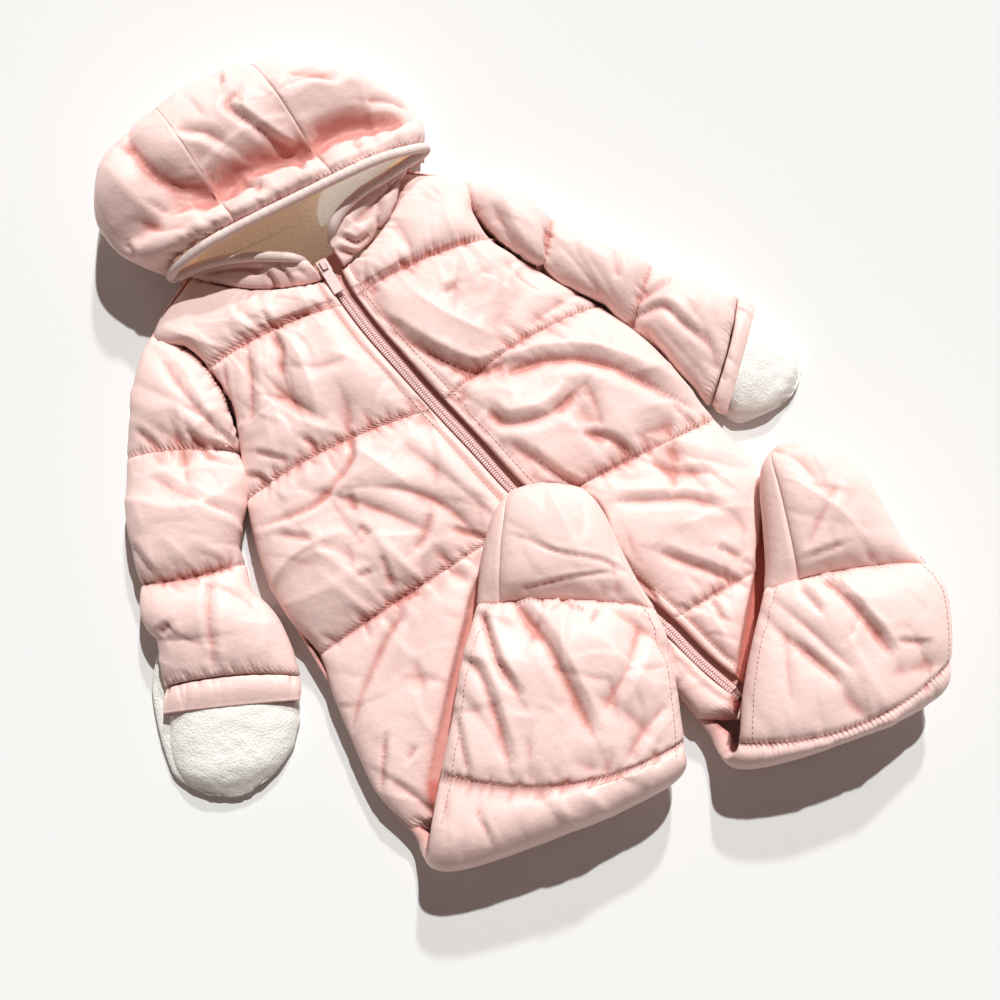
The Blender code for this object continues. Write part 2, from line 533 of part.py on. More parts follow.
def back_grid(table, stations, u, away):
    """A panel whose outside turns from down to up as it goes round the leg's fold."""
    values = between(table, stations)
    grid, u = row_line(table, values, u)
    tilt = np.radians(column(table, values, "tilt"))[:, None]
    lift = column(table, values, "lift")[:, None]
    inside = np.clip(column(table, values, "inside"), 0, 1)[:, None]
    upward = np.clip((np.degrees(tilt) + 90) / 180, 0, 1)
    rounded = np.zeros_like(u)
    for shape, share in ((FLAT, 1 - upward), (SOFT, upward)):
        from_b = half_dome((1 - u) / 0.5, shape)
        rounded += share * half_dome(u / 0.5, shape) * (1 - inside * (1 - from_b))
    facing = np.stack([away[0] * np.cos(tilt), away[1] * np.cos(tilt), np.sin(tilt)], axis=-1)
    return grid + facing * (lift * rounded)[..., None]


def ring_grid(table, stations, u, top):
    """Rows of a flattened tube at the places u across it, on its top or its underside."""
    values = between(table, stations)
    grid, u = row_line(table, values, u)
    if top:
        grid[..., 2] += column(table, values, "over")[:, None] * dome(u)
    else:
        grid[..., 2] -= column(table, values, "under")[:, None] * dome(u, FLAT)
    return grid


def full_ring(table, stations, half_top, half_under):
    """Whole rings: over the top from a to b, and back underneath."""
    over = ring_grid(table, stations, spaced(half_top)[:-1], True)
    under = ring_grid(table, stations, spaced(half_under)[:0:-1], False)
    return np.concatenate([over, under], axis=1)


def normals_of(grid, up=None):
    """Unit normals of a grid[along, across]: on the side that `up` (1 or -1) says, or outwards
    from the middle of each ring if it is None and the grid is a closed ring."""
    if up is None:
        wrapped = np.concatenate([grid[:, -1:], grid, grid[:, :1]], axis=1)
        across = (wrapped[:, 2:] - wrapped[:, :-2]) / 2
        hint = grid - grid.mean(axis=1, keepdims=True)
    else:
        across = np.gradient(grid, axis=1)
        hint = np.array([0, 0, up], float)
    normal = unit(np.cross(across, np.gradient(grid, axis=0)))
    return -normal if (hint * normal).sum() < 0 else normal


EDGES = {
    "start": ((slice(0, 1), slice(None)), (slice(1, 2), slice(None)), 1),
    "finish": ((slice(-1, None), slice(None)), (slice(-2, -1), slice(None)), 1),
    "a": ((slice(None), slice(0, 1)), (slice(None), slice(1, 2)), 0),
    "b": ((slice(None), slice(-1, None)), (slice(None), slice(-2, -1)), 0),
}


def turn_rim(grid, normals, edge, upright, up=1):
    """Sets the normals along an edge: level where the cloth is upright there, else plumb."""
    at, inside, axis = EDGES[edge]
    tangent = np.gradient(grid[at], axis=axis)
    square = unit(np.stack([tangent[..., 1], -tangent[..., 0], 0 * tangent[..., 0]], axis=-1))
    facing = np.sign((square * (grid[at] - grid[inside])).sum(axis=-1, keepdims=True))
    upright = np.broadcast_to(np.asarray(upright, float).reshape(-1, 1), facing.shape[:-1])
    upright = np.reshape(upright, facing.shape)
    normals[at] = unit(square * facing * upright + np.array([0, 0, up]) * (1 - upright))


def level_end(grid, normals):
    """Turns the normals of the last row to face along the piece, where it closes to a thin end."""
    out = grid[-1] - grid[-2]
    out[:, 2] = 0
    normals[-1] = unit(out)


# ---------------------------------------------------------------- solids


def material(name, colour, roughness, sheen=0.0):
    made = bpy.data.materials.new(name)
    made.use_nodes = True
    shader = made.node_tree.nodes["Principled BSDF"]
    shader.inputs["Base Color"].default_value = (*colour, 1)
    shader.inputs["Roughness"].default_value = roughness
    shader.inputs["Metallic"].default_value = 0.0
    shader.inputs["Sheen Weight"].default_value = sheen
    return made


def finished(name, bm, surface):
    """Makes the bmesh an object, in metres and in the part's own frame."""
    bmesh.ops.recalc_face_normals(bm, faces=bm.faces)
    bmesh.ops.translate(bm, verts=bm.verts, vec=(-MIDDLE_X, -MIDDLE_Y, 0))
    bmesh.ops.scale(bm, verts=bm.verts, vec=(MM, MM, MM))
    mesh = bpy.data.meshes.new(name)
    bm.to_mesh(mesh)
    bm.free()
    mesh.shade_smooth()
    obj = bpy.data.objects.new(name, mesh)
    obj.data.materials.append(surface)
    bpy.context.scene.collection.objects.link(obj)
    return obj


def skin(bm, verts, closed, flip):
    rows, columns = len(verts), len(verts[0])
    for i in range(rows - 1):
        for j in range(columns if closed else columns - 1):
            k = (j + 1) % columns
            quad = [verts[i][j], verts[i][k], verts[i + 1][k], verts[i + 1][j]]
            bm.faces.new(quad[::-1] if flip else quad)


def bridge(bm, fine, coarse):
    """Joins an edge of the outer skin to the inner skin's, which has every second point."""
    for i in range(len(coarse) - 1):
        a, m, b = fine[2 * i], fine[2 * i + 1], fine[2 * i + 2]
        bm.faces.new((a, m, coarse[i]))
        bm.faces.new((m, b, coarse[i + 1]))
        bm.faces.new((m, coarse[i + 1], coarse[i]))


def wall(name, outer, inner, surface, closed=False):
    """A closed wall between two grids. The inner skin takes every second point of its grid."""
    outer = outer.copy()
    outer[..., 2] = np.maximum(outer[..., 2], 0)
    bm = bmesh.new()
    out = [[bm.verts.new(p) for p in row] for row in outer]
    back = [[bm.verts.new(p) for p in row] for row in inner[::2, ::2]]
    skin(bm, out, closed, flip=False)
    skin(bm, back, closed, flip=True)
    again = slice(0, 1) if closed else slice(0, 0)
    for end in (0, -1):
        bridge(bm, out[end] + out[end][again], back[end] + back[end][again])
    if not closed:
        for side in (0, -1):
            bridge(bm, [row[side] for row in out], [row[side] for row in back])
    return finished(name, bm, surface)


def panel_wall(name, plain, raised, thickness, surface, rims, up=1):
    """A wall whose outside is `plain` moved out by `raised`, and whose inside is plain. rims gives
    for each edge how upright the cloth stands there, from 0 to 1."""
    normals = normals_of(plain, up)
    turned = normals.copy()
    for edge, upright in rims.items():
        turn_rim(plain, turned, edge, upright, up)
    outer = plain + normals * np.asarray(raised)[..., None]
    return wall(name, outer, plain - turned * thickness, surface)


# ---------------------------------------------------------------- the fronts


def body_half(side):
    """The body's rows as a front panel's, from the side seam to the zip."""
    rows = []
    for row in BODY:
        if side == "right":
            edge = (row.right_x, row.right_y, row.right_z)
            zip_edge = (row.zip_x - ZIP_RIGHT_EDGE, row.zip_y, row.zip_z)
            rows.append(PanelRow(*edge, *zip_edge, row.zip_z, row.bow, row.seam))
        else:
            edge = (row.left_x, row.left_y, row.left_z)
            zip_edge = (row.zip_x + ZIP_LEFT_EDGE, row.zip_y, row.zip_z)
            rows.append(PanelRow(*edge, *zip_edge, row.zip_z, -row.bow, row.seam))
    return rows


def front_panel(name, table, columns, puff, surface):
    stations = stations_of(table, 2, BESIDE_SEAM)
    u = spaced(columns, "start")
    grid = front_grid(table, stations, u)
    values = between(table, stations)
    crown = column(table, values, "crown")
    normals = normals_of(grid, 1)
    raised = puff * puff_along(table, stations)[:, None] * puff_across(u)[None]
    raised = np.maximum(raised - fold_depth(grid, FRONT_FOLDS), -DEEPEST)
    outer = pressed(grid + normals * raised[..., None])
    turned = normals.copy()
    turn_rim(grid, turned, "start", 0)
    turn_rim(grid, turned, "finish", 0)
    turn_rim(grid, turned, "a", np.clip((crown - column(table, values, "a_z")) / 9, 0, 1))
    turn_rim(grid, turned, "b", np.clip((crown - column(table, values, "b_z")) / 9, 0, 1))
    inner = pressed(grid) - turned * PADDED_WALL
    for skin_points in (outer, inner):
        skin_points[..., 2] = np.maximum(skin_points[..., 2], FRONT_LOWEST)
    return wall(name, outer, inner, surface)


def make_fronts(surface):
    front_panel("front_right", body_half("right") + THIGH_RIGHT, 14, BODY_PUFF, surface)
    front_panel("front_left", body_half("left") + THIGH_LEFT, 14, BODY_PUFF, surface)
    front_panel("front_left_inseam", INSEAM_LEFT, 4, INSEAM_PUFF, surface)


# ---------------------------------------------------------------- backs and folded legs


def rims_of_back(grid, normals, inside):
    """The way out from each point: level along the side seams."""
    turned = normals.copy()
    line = unit(grid[:, -1:] - grid[:, :1])
    turned[:, :1] = -line
    turned[:, -1:] = unit(line * inside + normals[:, -2:-1] * (1 - inside))
    return turned


def make_backs(surface):
    for name, table, away, folds in (
        ("back_right", BACK_RIGHT, (-0.240, -0.971), CALF_FOLDS_RIGHT),
        ("back_left", BACK_LEFT, (-0.280, -0.960), CALF_FOLDS_LEFT),
    ):
        u = spaced(16)
        stations = stations_of(table, 2, BESIDE_SEAM, single=FLOOR_ROWS)
        values = between(table, stations)
        grid = back_grid(table, stations, u, away)
        on_floor = stations <= FLOOR_ROWS
        grid[on_floor, :, 2] = np.minimum(grid[on_floor, :, 2], BACK_HIGHEST)
        upward = np.clip(column(table, values, "tilt") / 90, 0, 1)[:, None]
        raised = LEG_PUFF * puff_along(table, stations)[:, None] * puff_across(u)[None]
        raised = np.maximum((raised - fold_depth(grid, folds)) * upward, -DEEPEST)
        normals = normals_of(grid, 1)
        if normals[0, :, 2].mean() > 0:
            normals = -normals
        inside = np.clip(column(table, values, "inside"), 0, 1)[:, None, None]
        outer = grid + normals * raised[..., None]
        inner = grid - rims_of_back(grid, normals, inside) * PADDED_WALL
        inner[on_floor, :, 2] = np.minimum(inner[on_floor, :, 2], BACK_HIGHEST)
        wall(name, outer, inner, surface)


def make_folded_fronts(surface):
    for name, table in (("shin_right", FOLDED_RIGHT), ("shin_left", FOLDED_LEFT)):
        grid = back_grid(table, stations_of(table, 2), spaced(8), (0, -1))
        rims = {"start": 0, "finish": 0, "a": 1, "b": 1}
        panel_wall(name, grid, np.zeros(grid.shape[:-1]), PADDED_WALL, surface, rims, up=-1)


# ---------------------------------------------------------------- sleeves, cuffs, mitts


def tube_wall(name, table, stations, halves, thickness, surface, puff=0.0, folds=(), pleats=0.0):
    """A tube. Its top has the quilting and the folds; `pleats` lifts every second line of it."""
    half_top, half_under = halves
    grid = full_ring(table, stations, half_top, half_under)
    normals = normals_of(grid)
    on_top = np.arange(half_top + half_under) <= half_top
    u = np.concatenate([spaced(half_top), np.zeros(half_under - 1)])
    across = np.where(on_top, puff_across(u), 0)
    raised = (puff * puff_along(table, stations)[:, None] - fold_depth(grid, folds)) * across
    raised = raised + pleats * on_top * (-1.0) ** np.arange(half_top + half_under)
    outer = grid + normals * np.maximum(raised, -DEEPEST)[..., None]
    return wall(name, outer, grid - normals * thickness, surface, closed=True)


def make_sleeves(surface):
    for name, table, folds in (
        ("sleeve_right", SLEEVE_RIGHT, SLEEVE_FOLDS_RIGHT),
        ("sleeve_left", SLEEVE_LEFT, SLEEVE_FOLDS_LEFT),
    ):
        stations = stations_of(table, 2, BESIDE_SEAM)
        tube_wall(name, table, stations, (12, 6), PADDED_WALL, surface, SLEEVE_PUFF, folds)
    for name, table, top in (("cuff_right", CUFF_RIGHT, 24), ("cuff_left", CUFF_LEFT, 20)):
        tube_wall(name, table, stations_of(table, 1), (top, 8), THIN_WALL, surface, pleats=0.5)


def make_mitts(surface):
    for name, table, top in (
        ("mitt_top_right", MITT_TOP_RIGHT, True),
        ("mitt_top_left", MITT_TOP_LEFT, True),
        ("mitt_under_right", MITT_UNDER_RIGHT, False),
        ("mitt_under_left", MITT_UNDER_LEFT, False),
    ):
        grid = ring_grid(table, stations_of(table, 2), spaced(8), top)
        rims = {"start": 0, "finish": 1 if top else 0, "a": 1, "b": 1}
        raised = np.zeros(grid.shape[:-1])
        panel_wall(name, grid, raised, LINING_WALL, surface, rims, up=1 if top else -1)


# ---------------------------------------------------------------- booties


def make_booties(surface):
    for side, table in (("right", FOOT_RIGHT), ("left", FOOT_LEFT)):
        stations = stations_of(table, 2)
        values = between(table, stations)
        sole_a = column(table, values, "sole_a")[:, None]
        sole_b = column(table, values, "sole_b")[:, None]
        strip = np.array([[0.0, 0.5, 1.0]])
        over_a = ring_grid(table, stations, (sole_a - SOLE_GAP) * (1 - strip), True)
        under = ring_grid(table, stations, spaced(8)[1:], False)
        over_b = ring_grid(table, stations, 1 - (1 - sole_b - SOLE_GAP) * strip[:, 1:], True)
        place = np.linspace(1, 0, 9)[None]
        sole = ring_grid(table, stations, sole_a + (sole_b - sole_a) * place, True)
        ring = np.concatenate([over_a, under, over_b, sole], axis=1)
        normals = normals_of(ring)
        level_end(ring, normals)
        raised = np.zeros(ring.shape[:-1])
        sole_at = slice(ring.shape[1] - sole.shape[1], None)
        raised[:, sole_at] = SOLE_PUFF * puff_along(table, stations)[:, None] * puff_across(place)
        outer = ring + normals * raised[..., None]
        inner = ring - normals * SOLE_WALL
        upper_at = slice(0, sole_at.start)
        wall("bootie_" + side, outer[:, upper_at], inner[:, upper_at], surface)
        wall("sole_" + side, outer[:, sole_at], inner[:, sole_at], surface)


# ---------------------------------------------------------------- hood


def hood_gathers(stations, columns):
    """Every second line is raised at the mouth, fading out behind it."""
    fade = np.clip(1 - stations / HOOD_GATHER_ROWS, 0, 1) ** 0.7
    return HOOD_GATHER_DEPTH * fade[:, None] * (-1.0) ** np.arange(columns)[None]


def hood_wall(name, over, under_rows, stations, surface, axis):
    """A hood panel: its top and its underside joined over the crown (axis 0) or the side (1)."""
    grid = np.concatenate([over, under_rows], axis=axis)
    raised = np.zeros(grid.shape[:-1])
    raised[: over.shape[0], : over.shape[1]] = hood_gathers(stations, over.shape[1])
    normals = normals_of(grid, 1)
    if normals[0, 0, 2] < 0:
        normals = -normals
    if axis == 1:
        level_end(grid, normals)
    outer = grid + normals * raised[..., None]
    wall(name, outer, grid - normals * PADDED_WALL, surface)


def make_hood(surface):
    stations = stations_of(HOOD, 2)
    values = between(HOOD, stations)
    a_x = column(HOOD, values, "a_x")[:, None]
    width = column(HOOD, values, "b_x")[:, None] - a_x
    gap = SEAM_GAP / 2 / width
    seam_right = np.clip((HOOD_SEAM_RIGHT_X - a_x) / width, 0.12, 0.45)
    seam_left = np.clip((HOOD_SEAM_LEFT_X - a_x) / width, 0.55, 0.88)
    middle = seam_right + gap + (seam_left - seam_right - 2 * gap) * np.linspace(0, 1, 19)
    over = ring_grid(HOOD, stations, middle, True)
    below = np.array([18, 16, 15, 14, 12, 9, 4, 0])
    under = ring_grid(HOOD, stations[below], middle[below], False)
    hood_wall("hood_centre", over, under, stations, surface, axis=0)
    ease = spaced(10, "finish")
    for name, edge, rim in (
        ("hood_side_right", seam_right - gap, 0),
        ("hood_side_left", seam_left + gap, 1),
    ):
        over = ring_grid(HOOD, stations, edge + (rim - edge) * ease, True)
        under = ring_grid(HOOD, stations, rim + (edge - rim) * spaced(4, "start")[1:], False)
        hood_wall(name, over, under, stations, surface, axis=1)


def make_hood_lining(fleece):
    inset = [
        row._replace(
            a_x=row.a_x + HOOD_LINING_INSET,
            b_x=row.b_x - HOOD_LINING_INSET,
            over=row.over - HOOD_LINING_INSET,
            under=row.under - HOOD_LINING_INSET,
        )
        for row in HOOD
    ]
    ring = full_ring(inset, np.array(HOOD_LINING_ROWS, float), 12, 6)
    inner = ring - normals_of(ring) * LINING_WALL
    wall("hood_lining", ring, inner, fleece, closed=True)
    values = between(NAPE_LINING, stations_of(NAPE_LINING, 2))
    nape, _ = row_line(NAPE_LINING, values, spaced(8))
    rims = {"start": 0, "finish": 0, "a": 0, "b": 0}
    panel_wall("nape_lining", nape, np.zeros(nape.shape[:-1]), LINING_WALL, fleece, rims)


# ---------------------------------------------------------------- chin and binding


def make_chins(surface):
    for side, table in (("right", CHIN_RIGHT), ("left", CHIN_LEFT)):
        stations = stations_of(table, 2)
        values = between(table, stations)
        neck = front_grid(body_half(side), np.array([0.0]), column(table, values, "neck")[None])[0]
        neck[:, 1] += NECK_GAP
        edge = values[:, 1:4]
        u = np.linspace(0, 1, 5)[None, :, None]
        grid = neck[:, None] * (1 - u) + edge[:, None] * u
        rise = column(table, values, "rise")[:, None]
        grid[..., 2] += rise * dome(u[..., 0], (2.0, 1.6))
        rims = {"start": 0, "finish": 0, "a": 0, "b": 0}
        raised = np.zeros(grid.shape[:-1])
        panel_wall("chin_" + side, grid, raised, LINING_WALL, surface, rims)


def binding_route():
    """Up over the right chin piece, along the hood's edge, and down over the left one."""
    over_chin = np.array([0, 0.5, BINDING_OVER_CHIN])
    right = [np.array([r.edge_x, r.edge_y, r.edge_z]) + over_chin for r in CHIN_RIGHT[::-1]]
    left = [np.array([r.edge_x, r.edge_y, r.edge_z]) + over_chin for r in CHIN_LEFT]
    lip = ring_grid(HOOD, np.array([0.0]), np.linspace(*LIP_ENDS, 9)[None], True)[0]
    lip = lip + np.array([-0.117 * BINDING_OFF_HOOD, -0.993 * BINDING_OFF_HOOD, -1.2])
    return right + [np.array(CORNER_RIGHT)] + list(lip) + [np.array(CORNER_LEFT)] + left


def make_binding(surface):
    route = [Point(*p) for p in binding_route()]
    count = 2 * BINDING_GATHERS
    path = between(route, np.linspace(0, len(route) - 1, count + 1))
    along = unit(np.gradient(path, axis=0))
    side = unit(np.cross(along, (0, 0, 1)))
    up = np.cross(side, along)
    radius = BINDING_RADIUS * (1 + 0.1 * (-1.0) ** np.arange(count + 1))
    bm = bmesh.new()
    turn = 2 * math.pi * np.arange(BINDING_SIDES) / BINDING_SIDES
    rings = [
        [
            bm.verts.new(path[i] + radius[i] * (side[i] * math.cos(t) + up[i] * math.sin(t)))
            for t in turn
        ]
        for i in range(count + 1)
    ]
    skin(bm, rings, True, flip=False)
    bm.faces.new(rings[0])
    bm.faces.new(rings[-1])
    finished("hood_binding", bm, surface)


# ---------------------------------------------------------------- zip


def zip_strip(name, path, section, surface):
    """A strip with the same closed section all along: (across, up) pairs."""
    across = unit(np.cross(np.gradient(path, axis=0), (0, 0, 1)))
    bm = bmesh.new()
    rings = [
        [bm.verts.new(pressed(path[i] + across[i] * x) + (0, 0, z)) for x, z in section]
        for i in range(len(path))
    ]
    skin(bm, rings, True, flip=False)
    bm.faces.new(rings[0])
    bm.faces.new(rings[-1])
    finished(name, bm, surface)


def make_zip(tape, teeth):
    last = len(ZIP) - 1
    path = between(ZIP, np.linspace(0, last, 29))
    low, high = -TAPE_TOP - TAPE_THICKNESS, -TAPE_TOP
    for name, sign in (("zip_tape_right", 1), ("zip_tape_left", -1)):
        near, far = sign * TAPE_INNER, sign * TAPE_OUTER
        zip_strip(name, path, ((near, low), (far, low), (far, high), (near, high)), tape)
    path = between(ZIP, np.linspace(COIL_START, last, 29))
    half, shoulder = COIL_HALF_WIDTH, COIL_HALF_WIDTH - 0.9
    section = (
        (-half, -COIL_BOTTOM),
        (half, -COIL_BOTTOM),
        (half, -COIL_TOP - 0.8),
        (shoulder, -COIL_TOP),
        (-shoulder, -COIL_TOP),
        (-half, -COIL_TOP - 0.8),
    )
    zip_strip("zip_coil", path, section, teeth)


def turn_about_slider(bm):
    turn = Matrix.Rotation(math.radians(TAB_TURN), 3, "Z")
    bmesh.ops.rotate(bm, verts=bm.verts, cent=SLIDER_AT, matrix=turn)


def box(bm, low, high):
    made = bmesh.ops.create_cube(bm, size=1)["verts"]
    size = [high[i] - low[i] for i in range(3)]
    middle = [(high[i] + low[i]) / 2 for i in range(3)]
    bmesh.ops.scale(bm, verts=made, vec=size)
    bmesh.ops.translate(bm, verts=made, vec=middle)


def make_slider(surface):
    """The slider's body with its bridge, joined to one solid."""
    x, y, z = SLIDER_AT
    width, length, height = SLIDER_SIZE
    top = z + height / 2
    bm = bmesh.new()
    box(bm, (x - width / 2, y - length / 2, z - height / 2), (x + width / 2, y + length / 2, top))
    bmesh.ops.bevel(
        bm, geom=bm.edges, offset=0.7, affect="EDGES", segments=1, profile=0.5, material=-1
    )
    turn_about_slider(bm)
    slider = finished("zip_slider", bm, surface)
    arch_top = top + BRIDGE_HOLLOW + BRIDGE_BAR
    profile = [
        (-BRIDGE_REACH, top - BRIDGE_ROOT),
        (-BRIDGE_REACH, arch_top),
        (BRIDGE_REACH, arch_top),
        (BRIDGE_REACH, top - BRIDGE_ROOT),
        (BRIDGE_REACH - BRIDGE_BAR, top - BRIDGE_ROOT),
        (BRIDGE_REACH - BRIDGE_BAR, top + BRIDGE_HOLLOW),
        (-BRIDGE_REACH + BRIDGE_BAR, top + BRIDGE_HOLLOW),
        (-BRIDGE_REACH + BRIDGE_BAR, top - BRIDGE_ROOT),
    ]
    bm = bmesh.new()
    sides = [
        [bm.verts.new((x + side * BRIDGE_WIDTH / 2, y + ahead, up)) for ahead, up in profile]
        for side in (-1, 1)
    ]
    for i in range(len(profile)):
        k = (i + 1) % len(profile)
        bm.faces.new((sides[0][i], sides[0][k], sides[1][k], sides[1][i]))
    for side in sides:
        for quad in ((0, 1, 6, 7), (1, 2, 5, 6), (2, 3, 4, 5)):
            bm.faces.new([side[i] for i in quad])
    turn_about_slider(bm)
    arch = finished("zip_slider_arch", bm, surface)
    arch.hide_render = True
    join = slider.modifiers.new("bridge", "BOOLEAN")
    join.operation = "UNION"
    join.solver = "EXACT"
    join.object = arch


def make_tab(surface):
    """A plate with a slot, which goes round the bridge's near post. The bar behind it hinges."""
    width, length, thick = TAB_SIZE
    slot_width, slot_length = TAB_SLOT
    x = SLIDER_AT[0]
    bar_y = SLIDER_AT[1] + TAB_AHEAD
    xs = [x - width / 2, x - slot_width / 2, x + slot_width / 2, x + width / 2]
    ys = [bar_y + TAB_BAR / 2 - d for d in (0, TAB_BAR, TAB_BAR + slot_length, length)]
    bm = bmesh.new()
    corners = [
        [[bm.verts.new((px, py, TAB_Z + side * thick / 2)) for px in xs] for py in ys]
        for side in (-1, 1)
    ]
    cells = {(i, j) for i in range(3) for j in range(3)} - {(1, 1)}
    for i, j in cells:
        for layer in corners:
            bm.faces.new((layer[i][j], layer[i][j + 1], layer[i + 1][j + 1], layer[i + 1][j]))
        edges = (
            ((i - 1, j), (i, j), (i, j + 1)),
            ((i + 1, j), (i + 1, j), (i + 1, j + 1)),
            ((i, j - 1), (i, j), (i + 1, j)),
            ((i, j + 1), (i, j + 1), (i + 1, j + 1)),
        )
        for beyond, p, q in edges:
            if beyond not in cells:
                low, high = corners
                bm.faces.new((low[p[0]][p[1]], low[q[0]][q[1]], high[q[0]][q[1]], high[p[0]][p[1]]))
    turn_about_slider(bm)
    finished("zip_pull_tab", bm, surface)


def main():
    for obj in list(bpy.data.objects):
        bpy.data.objects.remove(obj, do_unlink=True)
    cloth = material("padded_satin", PINK, 0.42, 0.3)
    fleece = material("cream_fleece", FLEECE, 0.95, 0.4)
    knit = material("knitted_binding", PINK_KNIT, 0.85)
    tape = material("zip_tape_pink", ZIP_PINK, 0.85)
    teeth = material("zip_coil_pink", ZIP_PINK, 0.5)
    tab = material("zip_tab_pink", TAB_PINK, 0.55)
    make_fronts(cloth)
    make_backs(cloth)
    make_folded_fronts(cloth)
    make_sleeves(cloth)
    make_mitts(fleece)
    make_booties(cloth)
    make_hood(cloth)
    make_hood_lining(fleece)
    make_chins(cloth)
    make_binding(knit)
    make_zip(tape, teeth)
    make_slider(teeth)
    make_tab(tab)


main()
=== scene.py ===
"""The looks of a baby's padded snowsuit, laid on its back with both lower legs folded up.

The shell of every panel is a fine sheet on the panel's own form. It is cut a little longer than
that form and settles on it, so it puckers at the quilting and creases between. Lengths are in
millimetres until a mesh is made. The frame: +Y runs from the crotch to the hood, +X to the
wearer's left, +Z up from the floor.
"""

import math
from collections import namedtuple

import bmesh
import bpy
import numpy as np
from mathutils import Matrix, Vector


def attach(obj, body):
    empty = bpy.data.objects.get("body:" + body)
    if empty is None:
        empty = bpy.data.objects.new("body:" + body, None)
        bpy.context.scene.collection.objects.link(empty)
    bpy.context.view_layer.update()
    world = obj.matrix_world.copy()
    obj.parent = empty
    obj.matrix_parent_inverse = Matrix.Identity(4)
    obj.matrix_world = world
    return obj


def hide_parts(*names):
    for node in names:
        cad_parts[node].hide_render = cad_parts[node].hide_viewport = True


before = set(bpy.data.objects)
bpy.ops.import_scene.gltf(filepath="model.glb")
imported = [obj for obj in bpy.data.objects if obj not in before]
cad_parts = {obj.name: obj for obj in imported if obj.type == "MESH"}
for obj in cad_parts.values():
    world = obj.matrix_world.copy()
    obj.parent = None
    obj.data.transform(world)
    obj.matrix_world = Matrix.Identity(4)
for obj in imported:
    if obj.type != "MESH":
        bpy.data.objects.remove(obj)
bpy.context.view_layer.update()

MM = 0.001

# Where the middle of the laid garment is, in the frame that the tables use.
MIDDLE_X = -27.3
MIDDLE_Y = 5.2

# ---------------------------------------------------------------- sizes

CELL = 1.5  # between the points of a sheet that shows
HIDDEN_CELL = 6.0
UNDER_CELL = 4.0
UNDERSIDE_COARSER = 2.2  # times a tube's own cell
BAND_CELL = 1.0
BAND_CELL_AROUND = 0.9
MITT_CELL = 1.3
MITT_UNDER_CELL = 1.5
CHIN_CELL = 1.2
LINING_CELL = 3.0
NAPE_CELL = 2.5
ZIP_CELL = 1.5

SATIN_THICK = 1.5
SOLE_THICK = 2.0
FLEECE_THICK = 2.0
THIN_FLEECE = 0.8
LINING_THICK = -0.4  # on the other side of its sheet
KNIT_THICK = 1.0

FRONT_LOWEST = 14.2  # the side seams of body and thighs run just under this height
BACK_HIGHEST = 13.9  # and just over this one
CLOTH_LOWEST = 0.1  # over the floor

BODY_PUFF = 5.6
INSEAM_PUFF = 2.5
SLEEVE_PUFF = 5.5
LEG_PUFF = 6.0
SOLE_PUFF = 3.0
WADDING_THIN = 0.5  # exponent of the quilting's swell along the panel

SOFT = (2.5, 1.9)  # exponents of a filled tube's top
STANDING = (3.2, 2.1)  # of the hood's, which stands steeper at its sides
FLAT = (9.0, 2.0)  # of a side that lies on something
BROAD = (6.0, 2.0)  # of the wadding across a sleeve
CHIN_DOME = (2.0, 1.6)
SIDE_ROUNDING = 0.9  # the share of a front over which it rounds down to its side seam
ZIP_ROUNDING = 0.5  # and to the zip
BACK_ROUNDING = 0.5

EDGE_RISE = 5.0  # from an edge, over which the wadding swells
SOLE_RISE = 4.0
HOOD_RISE = 4.0
FRONT_FOLDS_FULL = 1.5  # folds keep their depth nearer to an edge than the swell does
SLEEVE_FOLDS_FULL = 1.6

PLACKET = 6.0  # from the zip's edge to the row of stitches beside it
PLACKET_SWELL = 0.2
PLACKET_ROUND = 0.6
PLACKET_RISE = 6.0

# ---------------------------------------------------------------- tables of the panels

# Rows across the body from neck to hip: the side seam or armhole on the wearer's right, the
# zip, and the side seam on the wearer's left, with the heights of the three. A row bows by `bow`
# towards the neck. seam = 1 where the row is a stitched edge or a quilting line.
BodyRow = namedtuple(
    "BodyRow", "right_x right_y right_z zip_x zip_y zip_z left_x left_y left_z bow seam"
)
BODY = [
    BodyRow(-90, 204, 22.0, -10.0, 148, 28.5, 74, 182, 22.0, -8, 1),
    BodyRow(-130, 187, 14.2, -11.0, 142, 30.5, 102, 157, 14.2, -5, 0),
    BodyRow(-118, 165, 23.0, -11.7, 135, 31.5, 95, 132, 23.0, -2, 0),
    BodyRow(-113, 143, 26.0, -12.0, 127, 31.5, 93, 110, 26.0, 4, 1),
    BodyRow(-114, 115, 25.0, -11.5, 100, 35.0, 99, 92, 22.0, 4, 0),
    BodyRow(-125, 88, 14.2, -8.5, 68, 37.0, 106, 76, 14.2, 4, 0),
    BodyRow(-143, 55, 14.2, -4.5, 33, 35.0, 128, 30, 14.2, 5, 1),
    BodyRow(-157, 12, 14.2, 0.2, -5, 38.0, 139, -10, 14.2, 3, 0),
    BodyRow(-162, -25, 14.2, 4.0, -36, 36.0, 143, -46, 14.2, 2, 0),
    BodyRow(-160, -58, 14.2, 9.2, -62, 30.0, 146, -79, 14.2, 0, 1),
]

